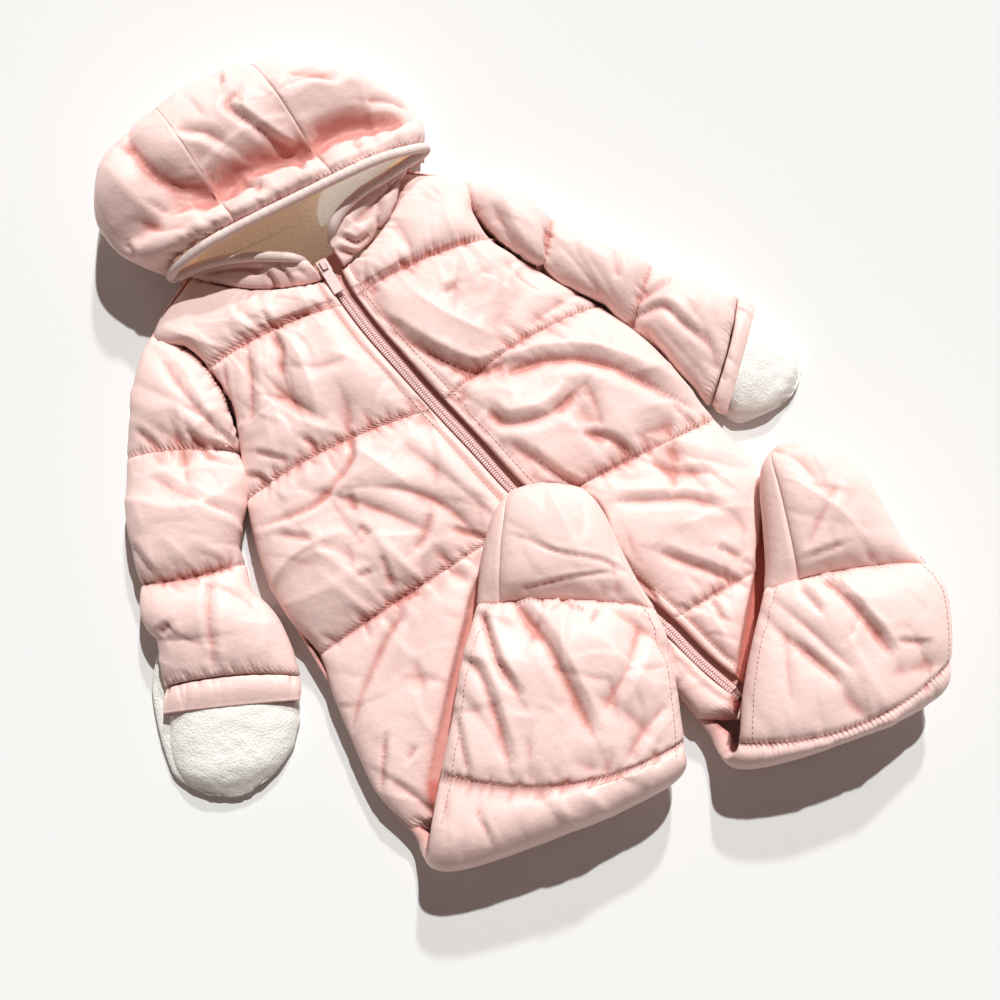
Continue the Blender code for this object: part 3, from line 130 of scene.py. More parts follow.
# Front panels: a row from edge a to edge b, with the heights of both edges and of the crown.
PanelRow = namedtuple("PanelRow", "a_x a_y a_z b_x b_y b_z crown bow seam")
THIGH_RIGHT = [
    PanelRow(-168, -88, 14.2, 7.0, -88, 27.5, 27.5, 0, 0),
    PanelRow(-174, -120, 14.2, 1.0, -124, 20.0, 27.0, 0, 0),
    PanelRow(-179, -152, 14.2, -7.0, -172, 14.2, 26.0, 0, 0),
    PanelRow(-174, -183.5, 14.2, -6.0, -223.5, 14.2, 25.0, 0, 1),
]
THIGH_LEFT = [
    PanelRow(149, -114, 14.2, 25.8, -98, 28.0, 31.0, 0, 0),
    PanelRow(150, -146, 14.2, 34.8, -136, 27.5, 29.0, 0, 0),
    PanelRow(151, -182, 14.2, 43.4, -172, 26.5, 26.5, 0, 1),
    PanelRow(152, -227, 14.2, 49.0, -205, 25.5, 25.5, 0, 0),
    PanelRow(152.5, -275, 14.2, 58.0, -239.5, 25.0, 25.0, 0, 1),
]
# The strip of the wearer's left leg between its inside seam and the zip.
INSEAM_LEFT = [
    PanelRow(7.8, -84, 26.5, 10.0, -84, 28.6, 28.6, 0, 1),
    PanelRow(3.0, -122, 22.0, 18.8, -122, 27.6, 27.6, 0, 0),
    PanelRow(3.5, -156, 16.0, 27.1, -157, 26.8, 26.8, 0, 0),
    PanelRow(15.0, -188, 14.2, 33.7, -190, 26.0, 26.0, 0, 0),
    PanelRow(18.0, -216, 14.2, 39.5, -219, 25.3, 25.3, 0, 0),
    PanelRow(19.0, -234, 14.2, 48.0, -244, 24.8, 24.8, 0, 1),
]

# A leg's back panel: along the floor, round the fold and back over the leg to the heel. `tilt` is
# where the panel's outside faces: -90 down, 0 away from the body, 90 up. `inside` is 1 where edge
# b is a seam inside the leg, and 0 where it is the seam down the middle of the back.
BackRow = namedtuple("BackRow", "a_x a_y a_z b_x b_y b_z tilt lift inside bow seam")
BACK_RIGHT = [
    BackRow(-90, 211.2, 13.9, -8.3, 199.6, 13.9, -90, 13.9, 0, 0, 1),
    BackRow(-131, 187, 13.9, -8.3, 180, 13.9, -90, 13.9, 0, 0, 0),
    BackRow(-113, 143, 13.9, -8.3, 135, 13.9, -90, 13.9, 0, 0, 0),
    BackRow(-117, 116, 13.9, -8.3, 108, 13.9, -90, 13.9, 0, 0, 0),
    BackRow(-124, 88, 13.9, -8.3, 82, 13.9, -90, 13.9, 0, 0, 0),
    BackRow(-148, 42, 13.9, -8.3, 36, 13.9, -90, 13.9, 0, 0, 0),
    BackRow(-162, -25, 13.9, -8.3, -28, 13.9, -90, 13.9, 0, 0, 0),
    BackRow(-167, -85, 13.9, -8.3, -88, 13.9, -90, 13.9, 0, 0, 0),
    BackRow(-178, -142, 13.9, -7.0, -150, 13.9, -90, 13.9, 1, 0, 0),
    BackRow(-178, -168, 13.9, -7.0, -190, 13.9, -90, 13.9, 1, 0, 0),
    BackRow(-175, -190, 13.9, -6.0, -231, 13.9, -90, 13.9, 1, 0, 0),
    BackRow(-177, -201, 18.0, -5.0, -242, 18.0, -45, 15.0, 1, 0, 0),
    BackRow(-176, -205, 27.5, -5.0, -247, 27.5, 0, 16.0, 1, 0, 0),
    BackRow(-171, -202, 37.0, -5.0, -246, 37.0, 45, 16.0, 1, 0, 0),
    BackRow(-160, -190, 41.2, -4.0, -244, 41.2, 90, 15.5, 1, -7, 0),
    BackRow(-137, -167, 41.2, 0.0, -238, 41.2, 90, 15.0, 1, -17, 1),
    BackRow(-112, -144, 41.2, 14.0, -210, 41.2, 90, 16.5, 1, -4, 0),
    BackRow(-84, -116, 41.2, 28.0, -182, 41.2, 90, 16.5, 1, 0, 0),
    BackRow(-58, -93, 41.2, 34.0, -160, 41.2, 90, 11.0, 1, 3, 1),
]
BACK_LEFT = [
    BackRow(74, 191.6, 13.9, -7.7, 199.6, 13.9, -90, 13.9, 0, 0, 1),
    BackRow(102, 157, 13.9, -7.7, 180, 13.9, -90, 13.9, 0, 0, 0),
    BackRow(92, 110, 13.9, -7.7, 135, 13.9, -90, 13.9, 0, 0, 0),
    BackRow(98, 93, 13.9, -7.7, 108, 13.9, -90, 13.9, 0, 0, 0),
    BackRow(106, 76, 13.9, -7.7, 82, 13.9, -90, 13.9, 0, 0, 0),
    BackRow(128, 30, 13.9, -7.7, 36, 13.9, -90, 13.9, 0, 0, 0),
    BackRow(143, -46, 13.9, -7.7, -28, 13.9, -90, 13.9, 0, 0, 0),
    BackRow(148, -100, 13.9, -7.7, -88, 13.9, -90, 13.9, 0, 0, 0),
    BackRow(151, -165, 13.9, 3.5, -150, 13.9, -90, 13.9, 1, 0, 0),
    BackRow(152, -225, 13.9, 13.0, -196, 13.9, -90, 13.9, 1, 0, 0),
    BackRow(153, -282, 13.9, 19.0, -241, 13.9, -90, 13.9, 1, 0, 0),
    BackRow(157, -296, 17.0, 17.0, -257, 18.0, -45, 14.5, 1, 0, 0),
    BackRow(161, -302, 25.0, 17.0, -262, 26.5, 0, 15.0, 1, 0, 0),
    BackRow(166, -301, 33.0, 21.0, -263, 35.5, 45, 15.5, 1, 4, 0),
    BackRow(171, -295, 36.7, 28.0, -260, 39.7, 90, 15.0, 1, 16, 1),
    BackRow(183, -277, 36.7, 50.0, -236, 39.7, 90, 16.5, 1, 8, 0),
    BackRow(194, -257, 36.7, 75.0, -213, 39.7, 90, 17.0, 1, 0, 0),
    BackRow(197, -238, 36.7, 100.0, -191, 39.7, 90, 12.0, 1, -3, 1),
]
FLOOR_ROWS = 10  # the rows of a back that lie on the floor
AWAY_RIGHT = (-0.240, -0.971)  # the way that each leg's fold faces
AWAY_LEFT = (-0.280, -0.960)

# The front of each folded lower leg lies under its back, from the fold to the ankle.
FOLDED_RIGHT = [
    BackRow(-152, -183, 40.4, -1.0, -230, 40.4, -90, 14.0, 1, 0, 1),
    BackRow(-112, -144, 40.4, 14.0, -210, 40.4, -90, 14.0, 1, 0, 0),
    BackRow(-84, -116, 40.4, 28.0, -182, 40.4, -90, 14.0, 1, 0, 0),
    BackRow(-59, -94, 40.4, 33.0, -161, 40.4, -90, 14.0, 1, 3, 1),
]
FOLDED_LEFT = [
    BackRow(172, -287, 35.9, 36.0, -247, 38.9, -90, 14.0, 1, 0, 1),
    BackRow(183, -277, 35.9, 50.0, -236, 38.9, -90, 14.0, 1, 0, 0),
    BackRow(194, -257, 35.9, 75.0, -213, 38.9, -90, 14.0, 1, 0, 0),
    BackRow(196, -239, 35.9, 99.0, -192, 38.9, -90, 14.0, 1, -3, 1),
]

# Tubes: a row across the tube, with how far its top and its underside stand from its side seams.
TubeRow = namedtuple("TubeRow", "a_x a_y a_z b_x b_y b_z over under bow seam")
SLEEVE_RIGHT = [
    TubeRow(-134.4, 188.5, 14, -127.2, 88.4, 14, 12.0, 14.0, 14.6, 1),
    TubeRow(-152.0, 173.0, 14, -128.0, 88.0, 14, 17.0, 14.0, 6, 0),
    TubeRow(-174.0, 149.0, 14, -128.8, 87.4, 14, 18.0, 14.0, 3, 0),
    TubeRow(-193.0, 125.0, 14, -130.0, 86.0, 14, 15.0, 14.0, 2, 1),
    TubeRow(-213.0, 90.0, 14, -145.5, 57.0, 14, 18.5, 14.0, 1, 0),
    TubeRow(-224.0, 64.0, 14, -163.0, 37.0, 14, 18.0, 14.0, 0, 0),
    TubeRow(-231.0, 48.0, 14, -168.0, 21.0, 14, 14.0, 14.0, -4, 1),
    TubeRow(-241.0, 29.0, 14, -173.0, 2.0, 14, 17.5, 14.0, -2, 0),
    TubeRow(-244.0, 8.0, 14, -171.0, -25.0, 14, 17.0, 14.0, 0, 0),
    TubeRow(-255.0, -17.0, 14, -178.0, -61.0, 14, 11.5, 8.0, 3, 1),
]
SLEEVE_LEFT = [
    TubeRow(105.0, 157.6, 14, 108.0, 76.0, 14, 12.0, 14.0, -9.6, 1),
    TubeRow(118.0, 141.0, 14, 108.6, 75.0, 14, 17.0, 14.0, -4, 0),
    TubeRow(129.0, 121.0, 14, 109.6, 74.0, 14, 18.0, 14.0, 0, 0),
    TubeRow(138.5, 99.0, 14, 110.6, 72.0, 14, 14.0, 14.0, 0, 1),
    TubeRow(153.0, 64.0, 14, 122.8, 44.0, 14, 18.0, 14.0, 0, 0),
    TubeRow(167.0, 43.0, 14, 132.0, 24.0, 14, 17.0, 14.0, 0, 0),
    TubeRow(175.0, 33.0, 14, 137.8, 4.0, 14, 14.0, 14.0, 0, 1),
    TubeRow(187.0, 10.0, 14, 143.0, -22.0, 14, 17.5, 14.0, 0, 0),
    TubeRow(196.0, -4.0, 14, 145.5, -44.0, 14, 17.0, 14.0, 0, 0),
    TubeRow(211.0, -18.0, 14, 149.5, -69.0, 14, 11.5, 8.0, 2, 1),
]
CUFF_RIGHT = [
    TubeRow(-255.6, -18.2, 14, -178.6, -62.2, 14, 12.0, 8.0, 3, 1),
    TubeRow(-260.0, -24.5, 14, -182.5, -68.5, 14, 11.5, 8.0, 2, 0),
    TubeRow(-265.5, -31.0, 14, -187.0, -75.0, 14, 9.0, 8.0, 0, 1),
]
CUFF_LEFT = [
    TubeRow(211.8, -19.2, 14, 150.3, -70.2, 14, 12.0, 8.0, 2, 1),
    TubeRow(214.5, -25.0, 14, 152.0, -76.0, 14, 11.5, 8.0, 1, 0),
    TubeRow(217.0, -31.5, 14, 155.0, -81.0, 14, 9.0, 8.0, 0, 1),
]
# Mitts, from the cuff to the finger end: the under layer is the broader one.
MITT_UNDER_RIGHT = [
    TubeRow(-249.0, 6.0, 4, -205.0, -25.0, 4, 0, 4, 0, 1),
    TubeRow(-264.0, -11.0, 4, -194.0, -55.0, 4, 0, 4, 0, 0),
    TubeRow(-275.0, -36.0, 4, -193.0, -80.0, 4, 0, 4, 0, 0),
    TubeRow(-281.0, -56.0, 4, -201.0, -90.0, 4, 0, 4, 0, 0),
    TubeRow(-282.0, -71.0, 4, -211.0, -98.0, 4, 0, 4, -2, 0),
    TubeRow(-272.0, -90.0, 4, -228.0, -104.0, 4, 0, 4, -6, 1),
]
MITT_TOP_RIGHT = [
    TubeRow(-256.0, -20.0, 4.4, -192.0, -60.0, 4.4, 17.0, 0, 0, 1),
    TubeRow(-266.0, -35.0, 4.4, -190.0, -76.0, 4.4, 18.0, 0, 0, 0),
    TubeRow(-276.0, -54.0, 4.4, -202.0, -91.0, 4.4, 16.0, 0, 0, 0),
    TubeRow(-279.0, -73.0, 4.4, -218.0, -101.0, 4.4, 13.0, 0, -2, 0),
    TubeRow(-267.0, -94.0, 4.4, -240.0, -105.0, 4.4, 1.0, 0, -4, 1),
]
MITT_UNDER_LEFT = [
    TubeRow(213.0, -24.0, 4, 155.0, -72.0, 4, 0, 4, 0, 1),
    TubeRow(224.0, -43.0, 4, 160.0, -88.0, 4, 0, 4, 0, 0),
    TubeRow(228.0, -64.0, 4, 172.0, -93.0, 4, 0, 4, 2, 0),
    TubeRow(221.0, -81.0, 4, 190.0, -96.0, 4, 0, 4, 5, 1),
]
MITT_TOP_LEFT = [
    TubeRow(208.0, -27.0, 4.4, 158.0, -72.0, 4.4, 17.0, 0, 0, 1),
    TubeRow(218.0, -39.0, 4.4, 160.0, -85.0, 4.4, 18.0, 0, 0, 0),
    TubeRow(226.0, -58.0, 4.4, 170.0, -92.0, 4.4, 15.0, 0, 0, 0),
    TubeRow(224.0, -73.0, 4.4, 182.0, -95.0, 4.4, 12.0, 0, 2, 0),
    TubeRow(215.0, -85.0, 4.4, 197.0, -95.0, 4.4, 1.0, 0, 3, 1),
]
MITT_UNDER_PUFF = (4.0, 7.5, 8.0, 7.5, 2.0)  # from the cuff to the finger end
SLEEVE_SEAM_OFF = 0.5  # the sleeve's own seam isn't held down
BAND_PLEATS_RIGHT = 24
BAND_PLEATS_LEFT = 20

# Booties, from the heel to the toe. The sole is uppermost, between sole_a and sole_b across the
# row, and the upper is the rest of the ring.
FootRow = namedtuple("FootRow", "a_x a_y a_z b_x b_y b_z over under sole_a sole_b bow seam")
FOOT_RIGHT = [
    FootRow(-57.0, -91.2, 41, 34.8, -158.2, 41, 10.0, 14.4, 0.13, 0.95, 3, 1),
    FootRow(-46, -78, 42, 36, -138, 42, 17.0, 15.4, 0.13, 0.96, 0, 0),
    FootRow(-33, -64, 42, 40, -113, 42, 19.0, 15.4, 0.13, 0.97, 0, 0),
    FootRow(-20, -53, 42, 44, -92, 41, 18.0, 15.0, 0.12, 0.97, 0, 0),
    FootRow(-9, -47, 41, 44, -77, 40, 14.0, 13.0, 0.08, 0.97, 1, 0),
    FootRow(1, -44, 40, 39, -66, 39, 1.4, 1.4, 0.03, 0.97, 4, 1),
]
FOOT_LEFT = [
    FootRow(196.6, -235.6, 36.7, 100.6, -189.6, 39.7, 11.0, 14.0, 0.03, 0.80, -3, 1),
    FootRow(194, -216, 36.7, 111, -177, 39.7, 18.0, 14.2, 0.02, 0.82, 0, 0),
    FootRow(196, -193, 36.7, 124, -157, 39.9, 20.0, 14.2, 0.02, 0.84, 0, 0),
    FootRow(198, -170, 37, 136, -138, 39.9, 19.0, 14.2, 0.02, 0.86, 0, 0),
    FootRow(194, -148, 37, 147, -125, 39.7, 15.0, 13.0, 0.02, 0.90, -2, 0),
    FootRow(184, -134, 37, 158, -120, 38.7, 1.4, 1.4, 0.03, 0.96, -5, 1),
]
SOLE_GAP = 0.004  # share of a row between the sole and the upper
SOLE_SLACK = 0.05
UPPER_SIDE_POINTS = 5

# The hood, from its mouth to its crown: the outline's two sides, and how far the top and the
# underside stand from it.
HOOD = [
    TubeRow(-101, 214, 24, 94, 191, 20, 40, 22, -2, 1),
    TubeRow(-107, 220, 32, 99, 197, 20, 38, 26, -2, 0),
    TubeRow(-114, 229, 38, 103, 205, 20, 29, 29, -1, 0),
    TubeRow(-119, 240, 40, 105, 215, 20, 21, 30, 1, 0),
    TubeRow(-121, 254, 40, 102, 232, 20, 32, 30, 4, 0),
    TubeRow(-119, 270, 38, 94, 250, 20, 41, 29, 6, 0),
    TubeRow(-111, 286, 34, 80, 268, 20, 42, 27, 6, 0),
    TubeRow(-98, 301, 28, 63, 287, 20, 36, 24, 5, 0),
    TubeRow(-79, 313, 23, 42, 304, 20, 22, 18, 3, 0),
    TubeRow(-60, 320, 20, 20, 315, 20, 1.6, 1.6, 1, 1),
]
HOOD_SEAM_RIGHT_X = -44.5
HOOD_SEAM_LEFT_X = 27.0
HOOD_GATHERS = 42
HOOD_GATHER_DEPTH = 1.1
HOOD_GATHER_REACH = 1.8  # the gathers fade out this many rows behind the mouth
# The gathers' ranges, with their places and reaches as shares of a row's length.
MouthGather = namedtuple("MouthGather", "step far lean reach uneven depth")
MOUTH = MouthGather(
    step=(0.25, 1.9), far=(0.25, 1.25), lean=0.010, reach=(0.004, 0.009), uneven=(0.4, 2.2),
    depth=(0.5, 2.0),
)
MOUTH_DEEPEST = 2.4
MOUTH_SEED = 11
MOUTH_SHARES = (0.4, 0.6)  # of a gather's depth, at a seam and more beside it
HOOD_SEAM_GAP = 0.15
HOOD_SEAM_RIGHT_WITHIN = (0.12, 0.45)  # shares of a row's width
HOOD_SEAM_LEFT_WITHIN = (0.55, 0.88)
HOOD_SEAM_DEPTH = 1.2
HOOD_CENTRE_POINTS = 46
HOOD_SIDE_POINTS = 44
HOOD_UNDER_POINTS = 12
HOOD_UNDER_STEP = 4
HOOD_EASE = 0.75  # the points stand closer where the side is steep
HOOD_UNDER_EASE = 1.6
HOOD_LOOSE = 0.85  # its unpadded cloth is cut closer
HOOD_LINING_INSET = 7.0
HOOD_LINING_BELOW = 11.5  # under the crown, whose folds are deep
HOOD_LINING_ROWS = (0.1, 1, 2, 3, 4, 5, 6, 6.8)
HOOD_LINING_POINTS = 40
NAPE_POINTS = 60
ROLL_POINTS = 60
ROLL_SEGMENTS = 48
# The lining's painted glow stands for the light that the shell lets through at both ends of
# the mouth: from x, over a run.
LIGHT_RIGHT = (-70.0, 24.0)
LIGHT_LEFT = (14.0, 40.0)
# The lining's loose fold: its middle line and radius.
RollRow = namedtuple("RollRow", "x y z radius")
LINING_ROLL = [
    RollRow(5, 186, 18, 0.4),
    RollRow(12, 191, 21, 6.5),
    RollRow(24, 197, 24, 9.0),
    RollRow(42, 200, 26, 9.5),
    RollRow(60, 201, 27, 9.0),
    RollRow(78, 199, 28, 6.5),
    RollRow(92, 196, 28, 0.6),
]
# The lining of the nape lies inside the back's neck edge.
NAPE_LINING = [
    PanelRow(-84, 226.0, 7.6, 72, 209.0, 7.6, 7.6, -2, 1),
    PanelRow(-78, 190, 7.4, 62, 178, 7.4, 7.4, 0, 0),
    PanelRow(-60, 164, 7.4, 44, 156, 7.4, 7.4, 0, 1),
]

# Chin pieces, from the hood's corner to the zip: places along the neck seam, and the bound edge.
ChinRow = namedtuple("ChinRow", "neck edge_x edge_y edge_z rise seam")
CHIN_RIGHT = [
    ChinRow(0.03, -96, 207.0, 26, 1.0, 1),
    ChinRow(0.20, -79, 203.0, 29, 3.0, 0),
    ChinRow(0.38, -60, 194.5, 32, 4.0, 0),
    ChinRow(0.56, -42, 183.0, 34, 4.5, 0),
    ChinRow(0.78, -27, 171.5, 35, 4.5, 0),
    ChinRow(0.97, -18.5, 166, 34, 3.0, 1),
]
CHIN_LEFT = [
    ChinRow(0.03, 89, 184.5, 26, 1.0, 1),
    ChinRow(0.16, 75, 183.5, 30, 3.0, 0),
    ChinRow(0.32, 57, 182.5, 33, 4.0, 0),
    ChinRow(0.50, 37, 182.0, 35, 4.5, 0),
    ChinRow(0.72, 17, 177.5, 35, 4.5, 0),
    ChinRow(0.97, 1.5, 167.5, 34, 3.0, 1),
]
NECK_GAP = 1.4
CHIN_SLACK = 0.12
# The knitted binding round the mouth turns at the hood's two corners.
CORNER_RIGHT = (-99.5, 208.6, 34.5)
CORNER_LEFT = (92.5, 185.8, 34.5)
BINDING_RADIUS = 3.4
BINDING_OFF_HOOD = 4.4
BINDING_OVER_CHIN = 4.6
BINDING_TURNS_DOWN = 12.0  # its two ends go down beside the zip over this length
BINDING_DROP = 8.0
LIP_ENDS = (0.05, 0.95)
LIP_POINTS = 9
LIP_SHIFT = (-0.117, -0.993)  # the way that the mouth faces
LIP_DROP = 1.2
BINDING_POINTS = 400
BINDING_CELL = 1.0
BINDING_SEGMENTS = 20
BINDING_SEED = 31
BINDING_GATHER = 5.5  # one gather for so much of its length
BINDING_UNEVEN = (-0.3, 0.3)
BINDING_LUMPS = (0.4, 1.2)
BINDING_ROUND = 0.6
BINDING_LEAN = 0.35
BINDING_LEAN_POINTS = 3
BINDING_SWELL = (0.97, 0.07)  # of its radius, plain and on a lump
BINDING_ENDS = (0.45, 0.55)  # of its radius, at its ends and more between
# painted shade between the binding's lumps: its amount, and how much less on a lump
BINDING_PAINTED_SHADE = (0.5, 0.9)

# The zip, from the neck to the end of its run on the wearer's left thigh.
Point = namedtuple("Point", "x y z")
ZIP = [
    Point(-9.8, 165, 24.5),
    Point(-10.0, 152, 27.5),
    Point(-11.7, 135, 31.5),
    Point(-12.0, 127, 31.5),
    Point(-11.5, 100, 35.0),
    Point(-8.5, 68, 37.0),
    Point(-4.5, 33, 35.0),
    Point(0.2, -5, 38.0),
    Point(4.0, -36, 36.0),
    Point(9.2, -62, 30.0),
    Point(17.8, -98, 28.0),
    Point(26.8, -136, 27.3),
    Point(35.4, -172, 26.3),
    Point(40.6, -204, 25.3),
    Point(49.0, -238, 24.9),
]
ZIP_RIGHT_EDGE = 4.6  # from the zip's middle to the right front's edge
ZIP_LEFT_EDGE = 8.0  # and to the left front's edge, which stands off it
COIL_START = 1.15  # the row of ZIP just below the slider
COIL_PITCH = 1.8
TOOTH = (3.1, 1.5, 1.1)  # across, along, up
TOOTH_BEVEL = 0.42
TOOTH_ASIDE = 1.55  # from the zip's middle
TOOTH_SLANT = 0.18
COIL_TOP = 2.4  # how far below the fronts' edges
TAPE_TOP = 5.2
TAPE_THICK = 0.9
TAPE_INNER = 0.3
TAPE_OUTER = 11.0
TAPE_POINTS = 9
ZIP_POINTS = 600

# Where the folded lower legs press the cloth beneath them to the height `top`: a line with a
# radius at each end.
Press = namedtuple("Press", "x1 y1 r1 x2 y2 r2 top")
PRESSES = [
    Press(-86, -212, 76, -20, -130, 58, 25.4),
    Press(-20, -130, 54, 12, -84, 31, 25.4),
    Press(-2, -208, 24, 12, -150, 30, 25.4),
    Press(100, -272, 66, 146, -200, 44, 21.2),
    Press(146, -200, 44, 168, -152, 30, 21.2),
]
PRESS_SLOPE = 2.2
LIGHT_FROM = np.array([0.76, 0.65])  # the way to the main light, on the floor
LEG_SHADE = 4.0  # how soon the shade is full where a leg's side turns from the light
LEG_SHADE_REACH = 3.0

# ---------------------------------------------------------------- folds and creases

# A fold is a trough along a line through `path`: how wide it is to each side, how deep, and how
# high the cloth rises beside it.
Crease = namedtuple("Crease", "path width depth rise")
FRONT_CREASES = [
    # the wearer's right
    Crease(((-85, 135), (-95, 116), (-109, 94)), 7, 3.5, 0.8),
    Crease(((-104, 136), (-112, 121), (-118, 101)), 4, 2.0, 0.6),
    Crease(((-64, 136), (-67, 120), (-76, 108)), 4, 2.0, 0.7),
    Crease(((-62, 153), (-63, 139)), 4, 1.6, 0.5),
    Crease(((-118, 76), (-105, 59)), 4, 1.8, 0.6),
    Crease(((-88, 66), (-85, 56), (-88, 50)), 4, 2.0, 0.6),
    Crease(((-131, 67), (-125, 60), (-126, 51)), 4, 2.2, 0.8),
    Crease(((-62, 47), (-70, 34), (-87, 26), (-110, 22), (-141, 31)), 5, 3.0, 1.2),
    Crease(((-83, 15), (-88, 3)), 5, 1.8, 0.5),
    Crease(((-136, 21), (-119, 4)), 5, 2.2, 0.7),
    Crease(((-91, -5), (-88, -16)), 4, 2.2, 0.5),
    Crease(((-89, -29), (-95, -50)), 4, 2.2, 0.7),
    Crease(((-48, -26), (-60, -36), (-71, -39)), 6, 2.8, 0.8),
    Crease(((-42, -41), (-28, -59)), 4, 1.8, 0.6),
    Crease(((-110, -31), (-100, -34)), 4, 1.6, 0.4),
    Crease(((-103, -70), (-120, -78), (-152, -98), (-171, -114)), 6, 2.6, 1.0),
    Crease(((-83, -62), (-98, -61)), 5, 2.4, 0.6),
    Crease(((-152, -127), (-176, -156)), 4, 2.4, 0.9),
    Crease(((-140, -144), (-150, -148)), 4, 1.6, 0.4),
    # the wearer's left
    Crease(((0, 92), (13, 62), (29, 38), (49, 30)), 10, 6.0, 2.2),
    Crease(((46, 24), (70, 17), (93, 1), (112, -22), (138, -68)), 11, 7.5, 3.0),
    Crease(((22, 10), (28, -6), (54, -16), (77, -13)), 9, 5.0, 1.8),
    Crease(((21, -17), (30, -39), (38, -58), (48, -72)), 7, 3.5, 1.0),
    Crease(((63, -38), (77, -51), (84, -69)), 6, 3.4, 1.0),
    Crease(((126, -56), (132, -77)), 4, 2.2, 0.6),
    Crease(((-6, 119), (8, 86)), 5, 1.6, 0.5),
    Crease(((43, 92), (54, 91)), 5, 1.8, 0.5),
    Crease(((89, -78), (99, -92), (118, -107)), 6, 2.6, 0.8),
    Crease(((57, -89), (75, -101), (98, -115), (111, -133)), 7, 3.0, 1.0),
    Crease(((60, -131), (70, -146), (80, -160), (92, -179)), 7, 3.0, 1.0),
    Crease(((93, -150), (103, -165)), 5, 2.0, 0.6),
    Crease(((70, -176), (69, -193)), 4, 2.0, 0.6),
]
CALF_CREASES_RIGHT = [
    Crease(((-59, -98), (-62, -110), (-68, -133), (-69, -155)), 6, 6.0, 1.8),
    Crease(((-37, -101), (-37, -120), (-37, -142), (-40, -166), (-45, -199)), 9, 5.5, 1.8),
    Crease(((-83, -117), (-81, -132), (-87, -155), (-97, -185)), 7, 4.0, 1.2),
    Crease(((-107, -142), (-122, -177)), 5, 2.4, 0.8),
    Crease(((19, -165), (-2, -179), (-31, -194)), 9, 3.0, 1.0),
    Crease(((2, -213), (-20, -219), (-37, -227)), 8, 2.5, 0.8),
    Crease(((-141, -178), (-150, -196)), 4, 2.2, 0.7),
    Crease(((-130, -197), (-134, -219)), 4, 2.2, 0.7),
    # crumples at the ankle
    Crease(((-24, -124), (-13, -123), (-13, -114)), 3, 2.2, 1.2),
    Crease(((-12, -123), (-9, -131), (-5, -137)), 3, 2.2, 1.2),
    Crease(((3, -136), (17, -139), (20, -147)), 3, 2.4, 1.2),
    Crease(((-7, -145), (3, -140)), 3, 1.8, 0.8),
    Crease(((-45, -96), (-39, -99), (-30, -100)), 4, 3.0, 1.2),
]
CALF_CREASES_LEFT = [
    Crease(((132, -206), (136, -236), (137, -268)), 7, 4.8, 1.6),
    Crease(((117, -203), (117, -224)), 5, 2.4, 0.7),
    Crease(((93, -228), (97, -250), (101, -266)), 6, 3.2, 1.0),
    Crease(((145, -264), (162, -278)), 4, 1.8, 0.5),
]
SOLE_CREASES_RIGHT = [
    Crease(((-7, -81), (3, -97), (22, -116), (31, -132)), 3, 1.6, 0.8),
    Crease(((-29, -101), (5, -116), (25, -127)), 3, 1.4, 0.7),
]
SOLE_CREASES_LEFT = [
    Crease(((174, -163), (153, -174), (134, -185)), 6, 1.8, 0.7),
    Crease(((128, -188), (157, -196)), 4, 1.4, 0.6),
]
SLEEVE_CREASES_RIGHT = [
    Crease(((-136, 163), (-136, 136), (-134, 110), (-128, 90)), 8, 4.0, 1.2),
    Crease(((-175, 135), (-170, 112)), 5, 2.2, 0.8),
    Crease(((-148, 115), (-147, 97)), 5, 2.4, 0.8),
    Crease(((-135, 105), (-128, 87)), 4, 2.4, 0.7),
    Crease(((-185, 102), (-172, 74), (-155, 50)), 7, 2.2, 0.8),
    Crease(((-148, 95), (-137, 74)), 5, 2.8, 0.8),
    Crease(((-217, 71), (-217, 46)), 5, 2.2, 0.7),
    Crease(((-235, 12), (-225, 12)), 5, 3.0, 0.8),
    Crease(((-191, 22), (-204, 0), (-218, -26)), 6, 2.0, 0.8),
]
SLEEVE_CREASES_LEFT = [
    Crease(((109, 128), (106, 104), (107, 83)), 7, 3.0, 1.0),
    Crease(((107, 86), (112, 64), (115, 50)), 6, 4.5, 1.2),
    Crease(((156, 55), (146, 34)), 5, 2.2, 0.8),
    Crease(((143, 8), (160, 2), (164, -15), (170, -36)), 6, 4.0, 1.2),
    Crease(((150, 15), (178, 14)), 5, 2.6, 0.8),
    Crease(((144, -1), (143, -29)), 7, 2.6, 0.8),
]
HOOD_CREASES = [
    # three deep hollows behind the brim
    Crease(((-46, 230), (-66, 248), (-73, 264), (-75, 287), (-80, 297)), 20, 9.0, 2.4),
    Crease(((26, 223), (18, 224), (-6, 230), (-24, 233), (-44, 226)), 15, 8.0, 2.6),
    Crease(((100, 210), (80, 215), (57, 223), (40, 224), (28, 224)), 14, 8.0, 2.4),
    # on the crown
    Crease(((5, 301), (1, 290)), 4, 2.6, 1.4),
    Crease(((6, 278), (-4, 272), (5, 247), (17, 225)), 7, 3.6, 2.0),
    Crease(((35, 265), (56, 265), (68, 253)), 8, 3.0, 1.4),
    Crease(((5, 276), (3, 267)), 3, 1.6, 0.5),
    Crease(((70, 256), (52, 268), (41, 272)), 9, 4.0, 1.5),
    Crease(((102, 218), (92, 227), (75, 233)), 8, 3.5, 1.2),
    Crease(((-20, 249), (-27, 263), (-44, 278)), 8, 3.0, 1.2),
    # on the brim
    Crease(((-26, 229), (-16, 213)), 6, 3.5, 1.5),
    Crease(((16, 221), (11, 207)), 5, 3.0, 1.5),
    Crease(((60, 215), (52, 208), (56, 203)), 4, 2.5, 1.0),
    Crease(((88, 209), (71, 202)), 5, 2.0, 1.0),
    Crease(((-85, 251), (-77, 238)), 4, 1.2, 0.5),
    Crease(((-110, 239), (-112, 224)), 4, 1.5, 0.6),
    Crease(((-96, 244), (-83, 227), (-64, 222)), 6, 2.0, 0.8),
]
